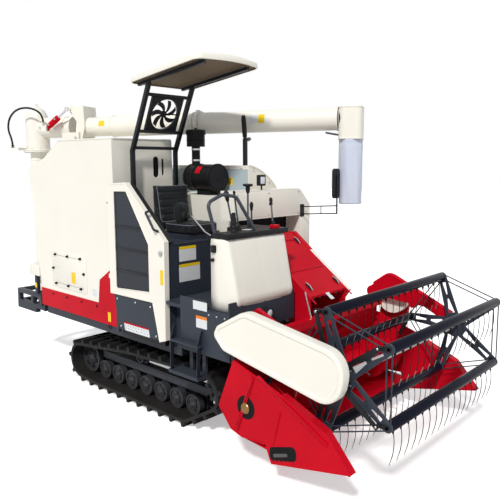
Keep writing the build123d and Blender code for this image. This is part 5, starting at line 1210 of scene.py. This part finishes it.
cover_y = 1.058
shells = [head((0.010, 0.008, 0.010, 0.006, 0.001), (x, cover_y, z), "y", bright, out=1)
          for x, z in ((1.38, 1.02), (1.62, 1.02), (1.37, 0.62), (1.56, 0.62), (1.505, 1.17))]
hub = [(0.040, -0.001), (0.036, 0.010), (0.030, 0.016), (0, 0.016)]
shells.append(lathe(hub, (auger_x, cover_y, auger_z), "y", black_steel, 24))
pulley_cover = [(0.160, 0.957), (0.1615, 0.960), (0.1615, 1.052), (0.156, 1.0575), (0, 1.0575)]
shells.append(lathe(pulley_cover, (1.505, 0, 1.050), "y", cream, 48))
build("drive_cover_trim", shells, "header", "red_paint")

guard_pitch = 0.1
shells = []
for y in guard_pitch * np.arange(-9, 10):
    shells.append(head((0.0845, 0.006, 0.008, 0.0805, 0.0), (1.701, y, 0.2005), "z", black_steel, out=1))
    guard = [(1.716, y - 0.009), (1.770, y - 0.0055), (1.770, y + 0.0055), (1.716, y + 0.009)]
    shells.append(plate(guard, 0.002, 0.2795, 0.286, 0.002, "z", bright, steps=1))
build("knife_trim", shells, "header", "steel")

# Reel
# Red arms and a cream chain cover, slate stars of cut plate tied by rods, and five navy tubes on their
# cranks with curved spring tines: black wire in a moulded clip, worn bright at the tip.
repaint(red, "reel_arms")
repaint(black_steel, "control_star")
navy = finish("navy_gloss", (0.005, 0.006, 0.015), rough=0.22, vary=0.1, grain=(60, 0.03), shine=0.05)
tine_black = finish("tine_wire", (0.010, 0.010, 0.011), rough=0.35, metal=0.4, vary=0.1)
tine_worn = finish("tine_tip", (0.30, 0.29, 0.27), rough=0.4, metal=0.9, vary=0.2)
reel_x, reel_z, reel_r, crank = 2.199, 0.9195, 0.433, 0.062
star_angles = [radians(36 + 72 * k) for k in range(5)]
tube_y, tine_pitch, tine_long = (-0.833, 0.843), 0.098, 0.254
tube_line = [(0.030, tube_y[0]), (0.0355, tube_y[0] + 0.002), (0.037, tube_y[0] + 0.006),
             (0.037, tube_y[1] - 0.006), (0.0355, tube_y[1] - 0.002), (0.030, tube_y[1])]
journal = [(0.0105, -0.859), (0.012, -0.8575), (0.012, 0.8655), (0.0105, 0.867)]
crank_pin = [(0.007, -0.891), (0.008, -0.890), (0.008, -0.852), (0.007, -0.851)]
s = np.linspace(0, 1, 10)
bend = np.interp(s, [0, 0.30, 0.65, 1], [0, 0.013, 0.006, -0.024])
bend = np.convolve(np.r_[bend[0], bend, bend[-1]], [0.25, 0.5, 0.25], "valid")
tine_places = [(0, sum(tube_y) / 2 + (n - 8) * tine_pitch, 0) for n in range(17)]
for number, a in enumerate(star_angles, 1):
    x, z = reel_x + reel_r * cos(a), reel_z + reel_r * sin(a)
    arm = [(x + 0.014, z - 0.016), (x + 0.014, z + 0.016), (x - crank - 0.014, z + 0.013),
           (x - crank - 0.014, z - 0.013)]
    shells = [lathe(tube_line, (x, 0, z), "y", navy, 28),
              lathe(journal, (x, 0, z), "y", bright, 16),
              plate(arm, 0.010, -0.859, -0.851, 0.0015, "y", black_steel, steps=2),
              lathe(crank_pin, (x - crank, 0, z), "y", bright, 12)]
    drop = z - 0.034
    wire = np.stack([x + bend, np.zeros(10), drop - tine_long * s], 1)
    clip = [(x, 0, drop + 0.010), (x + 0.001, 0, drop - 0.012), (x + 0.003, 0, drop - 0.030)]
    for shell in (rod(wire[:8], 0.003, tine_black, 6), rod(wire[7:], [0.003, 0.0029, 0.002], tine_worn, 6),
                  rod(clip, [0.011, 0.009, 0.0045], moulded)):
        shells += copies(shell, tine_places)
    build("reel_bat_%d" % number, shells, "bat_%d" % number, "navy_gloss", "bat_%d" % number)


def cutout(outlines, low, high, edge, axis, material):
    """A plate between two places along an axis, from flat outlines of its rim and holes, edges bevelled."""
    curve = bpy.data.curves.new("cutout", "CURVE")
    curve.dimensions = "2D"
    curve.fill_mode = "BOTH"
    curve.extrude = (high - low) / 2 - edge
    curve.bevel_depth = edge
    for outline in outlines:
        spline = curve.splines.new("POLY")
        spline.points.add(len(outline) - 1)
        for point, place in zip(spline.points, outline):
            point.co = (*place, 0, 1)
        spline.use_cyclic_u = True
    holder = bpy.data.objects.new("cutout", curve)
    flat = bpy.data.meshes.new_from_object(holder)
    bpy.data.objects.remove(holder)
    points = mesh_values(flat.vertices)
    points = placed(points[:, :2], points[:, 2] + (low + high) / 2, axis)
    return points, [list(face.vertices) for face in flat.polygons], material


# Each star: five arms with two windows and a bearing hole, bolts round the hub, and twin rods from arm to
# arm.
tip_r, plate_half, rod_gap = 0.034, 0.007, 0.020
star_outline, star_holes = [], []
middle = np.array([reel_x, reel_z])
hole_turn = np.linspace(0, 2 * pi, 24, endpoint=False)
hole = 0.0125 * np.stack([np.cos(hole_turn), np.sin(hole_turn)], 1)
for a in star_angles:
    out, over = np.array([cos(a), sin(a)]), np.array([-sin(a), cos(a)])
    star_outline.append(middle + 0.096 * np.array([cos(a - pi / 5), sin(a - pi / 5)]))
    star_outline += [middle + out * (reel_r + tip_r * cos(b)) + over * tip_r * sin(b)
                     for b in np.linspace(-pi / 2, pi / 2, 13)]
    for near, near_half, far, far_half in ((0.104, 0.032, 0.232, 0.009),
                                           (0.268, 0.008, reel_r - 0.056, 0.019)):
        corners = [(near, -near_half), (far, -far_half), (far, far_half), (near, near_half)]
        star_holes.append(rounded([middle + out * r + over * w for r, w in corners], 0.005, steps=3))
    star_holes.append(middle + out * reel_r + hole)
shells = [lathe([(0.022, -0.965), (0.025, -0.962), (0.025, 0.929), (0.022, 0.932)], (reel_x, 0, reel_z),
                "y", bright, 28)]
for y, way in ((-0.842, -1), (0.852, 1)):
    shells.append(cutout([star_outline] + star_holes, *about(y, plate_half), 0.001, "y", box_grey))
    for a in star_angles:
        for r, size in ((0.085, 0.008), (0.045, 0.0065)):
            bolt = [(size, -0.001 * way), (size, 0.005 * way), (size * 0.8, 0.007 * way), (0, 0.007 * way)]
            spot = (reel_x + r * cos(a), y + way * plate_half, reel_z + r * sin(a))
            shells.append(lathe(bolt, spot, "y", bright, 6))
        outward = np.array([cos(a + pi / 5), 0, sin(a + pi / 5)])
        angles = (a, a + 2 * pi / 5)
        ends = [np.array([reel_x + reel_r * cos(b), y, reel_z + reel_r * sin(b)]) for b in angles]
        for shift in (-rod_gap, rod_gap):
            shells.append(rod([end + outward * shift for end in ends], 0.005, box_grey, 12))
build("reel_star_plates", shells, "reel", "black_steel", "reel_stars")

arm_x, arm_z = 1.320, 1.085
outline = [(arm_x - 0.046, arm_z - 0.141), (arm_x - 0.152, arm_z - 0.039), (arm_x - 0.107, arm_z + 0.037),
           (arm_x + 0.167, arm_z + 0.189), (reel_x + 0.176, reel_z + 0.211), (reel_x + 0.110, reel_z - 0.161)]
case = rounded(outline, [0.08, 0.05, 0.06, 0.16, 0.165, 0.165], steps=8)
collar = [(0.0255, -0.971), (0.060, -0.971), (0.060, -0.9285), (0.0255, -0.9285)]
shells = [slab(case, -1.060, -0.970, 0.016, "y", cream, steps=5, dent=(0.014, 0.010)),
          lathe(collar, (reel_x, 0, reel_z), "y", slate, 32)]
build("chain_case", shells, "reel_arms", "cream_paint", "chain_cover")
shells = []
for x, z, r, material in ((arm_x, arm_z, 0.034, bright), (reel_x, reel_z, 0.036, black_steel)):
    shells.append(lathe([(r, 0.927), (r, 0.933), (r * 0.8, 0.937), (0, 0.937)], (x, 0, z), "y", material, 24))
arm = [(arm_x + 0.02, 0.91, arm_z + 0.075), (arm_x + 0.19, 0.91, arm_z + 0.194),
       (reel_x - 0.06, 0.91, reel_z + 0.079)]
shells.append(rod(rounded(arm, 0.10, closed=False), 0.0205, red, 12))
build("arm_trim", shells, "reel_arms", "red_paint")

# Mirror and lamps
# Mirror with a black moulded back and silvered glass on two rods; square work lamp, round front lamp with
# its lens in a rubber rim, and the cream rear lamp box with its red lens.
silver = finish("mirror_glass", (0.80, 0.82, 0.84), rough=0.03, metal=1.0, vary=0.01, grain=(10, 0.0))
lens = finish("lamp_lens", (0.62, 0.66, 0.70), rough=0.12, coat=0.6, vary=0.06, grain=(160, 0.5))
red_lens = finish("red_lens", (0.40, 0.01, 0.008), rough=0.15, coat=0.6, vary=0.1, grain=(160, 0.5))
post_x, post_y = 0.960, 0.800
shells = [panel((0.740, 0.860), (1.972, 2.262), 0.030, 0.938, 0.954, 0.006, "x", black_steel),
          panel((0.748, 0.852), (1.980, 2.254), 0.024, 0.9372, 0.9390, 0.0006, "x", silver, steps=1),
          panel((0.670, 0.730), (1.780, 1.905), 0.008, 0.600, 0.608, 0.002, "x", black_steel),
          pipe([(post_x, post_y, 1.819), (post_x, post_y, 2.200)], 0.008, black_steel, up=(1, 0, 0))]
for z in (1.805, 1.880):
    shells.append(pipe([(0.604, 0.700, z), (post_x, post_y, z + 0.020)], 0.006, black_steel, sides=10))
shells.append(pipe([(0.800, 0.755, 1.814), (0.800, 0.755, 1.893)], 0.005, black_steel, up=(1, 0, 0),
                   sides=10))
build("mirror_set", shells, "chassis", "black_steel", "mirror")

lamp = (1.190, -0.48, 1.110)
rim = [(0, 0.0), (0.045, 0.0), (0.045, 0.034), (0.043, 0.043), (0.039, 0.044), (0.037, 0.038)]
glass = [(0.038, 0.034), (0.030, 0.0395), (0.016, 0.0435), (0, 0.0445)]
box_x, box_y, box_z = (-2.285, -2.045), (-0.760, -0.672), (1.035, 1.160)
shells = [panel((0.096, 0.186), (2.104, 2.206), 0.010, 0.540, 0.580, 0.006, "x", moulded),
          panel((0.112, 0.170), (2.122, 2.188), 0.006, 0.578, 0.5835, 0.003, "x", lens, steps=2),
          pipe([(0.565, 0.14, 2.065), (0.565, 0.14, 2.112)], 0.008, black_steel, up=(1, 0, 0), sides=10),
          lathe(rim, lamp, "x", rubber, 40), lathe(glass, lamp, "x", lens, 12),
          panel(box_x, box_z, 0.014, *box_y, 0.010, "y", cream),
          panel((box_y[0] + 0.012, box_y[1] - 0.012), (box_z[0] + 0.02, box_z[1] - 0.02), 0.008, box_x[0],
                box_x[0] + 0.012, 0.003, "x", red_lens, steps=2),
          panel((-2.155, -2.105), (0.829, 1.038), 0.003, -0.760, -0.720, 0.002, "y", slate, steps=1),
          panel((-2.152, -2.108), (0.90, 0.955), 0.002, -0.7612, -0.7585, 0.0004, "y", yellow, steps=1)]
build("lamp_set", shells, "chassis", "black_plastic", "lamps")
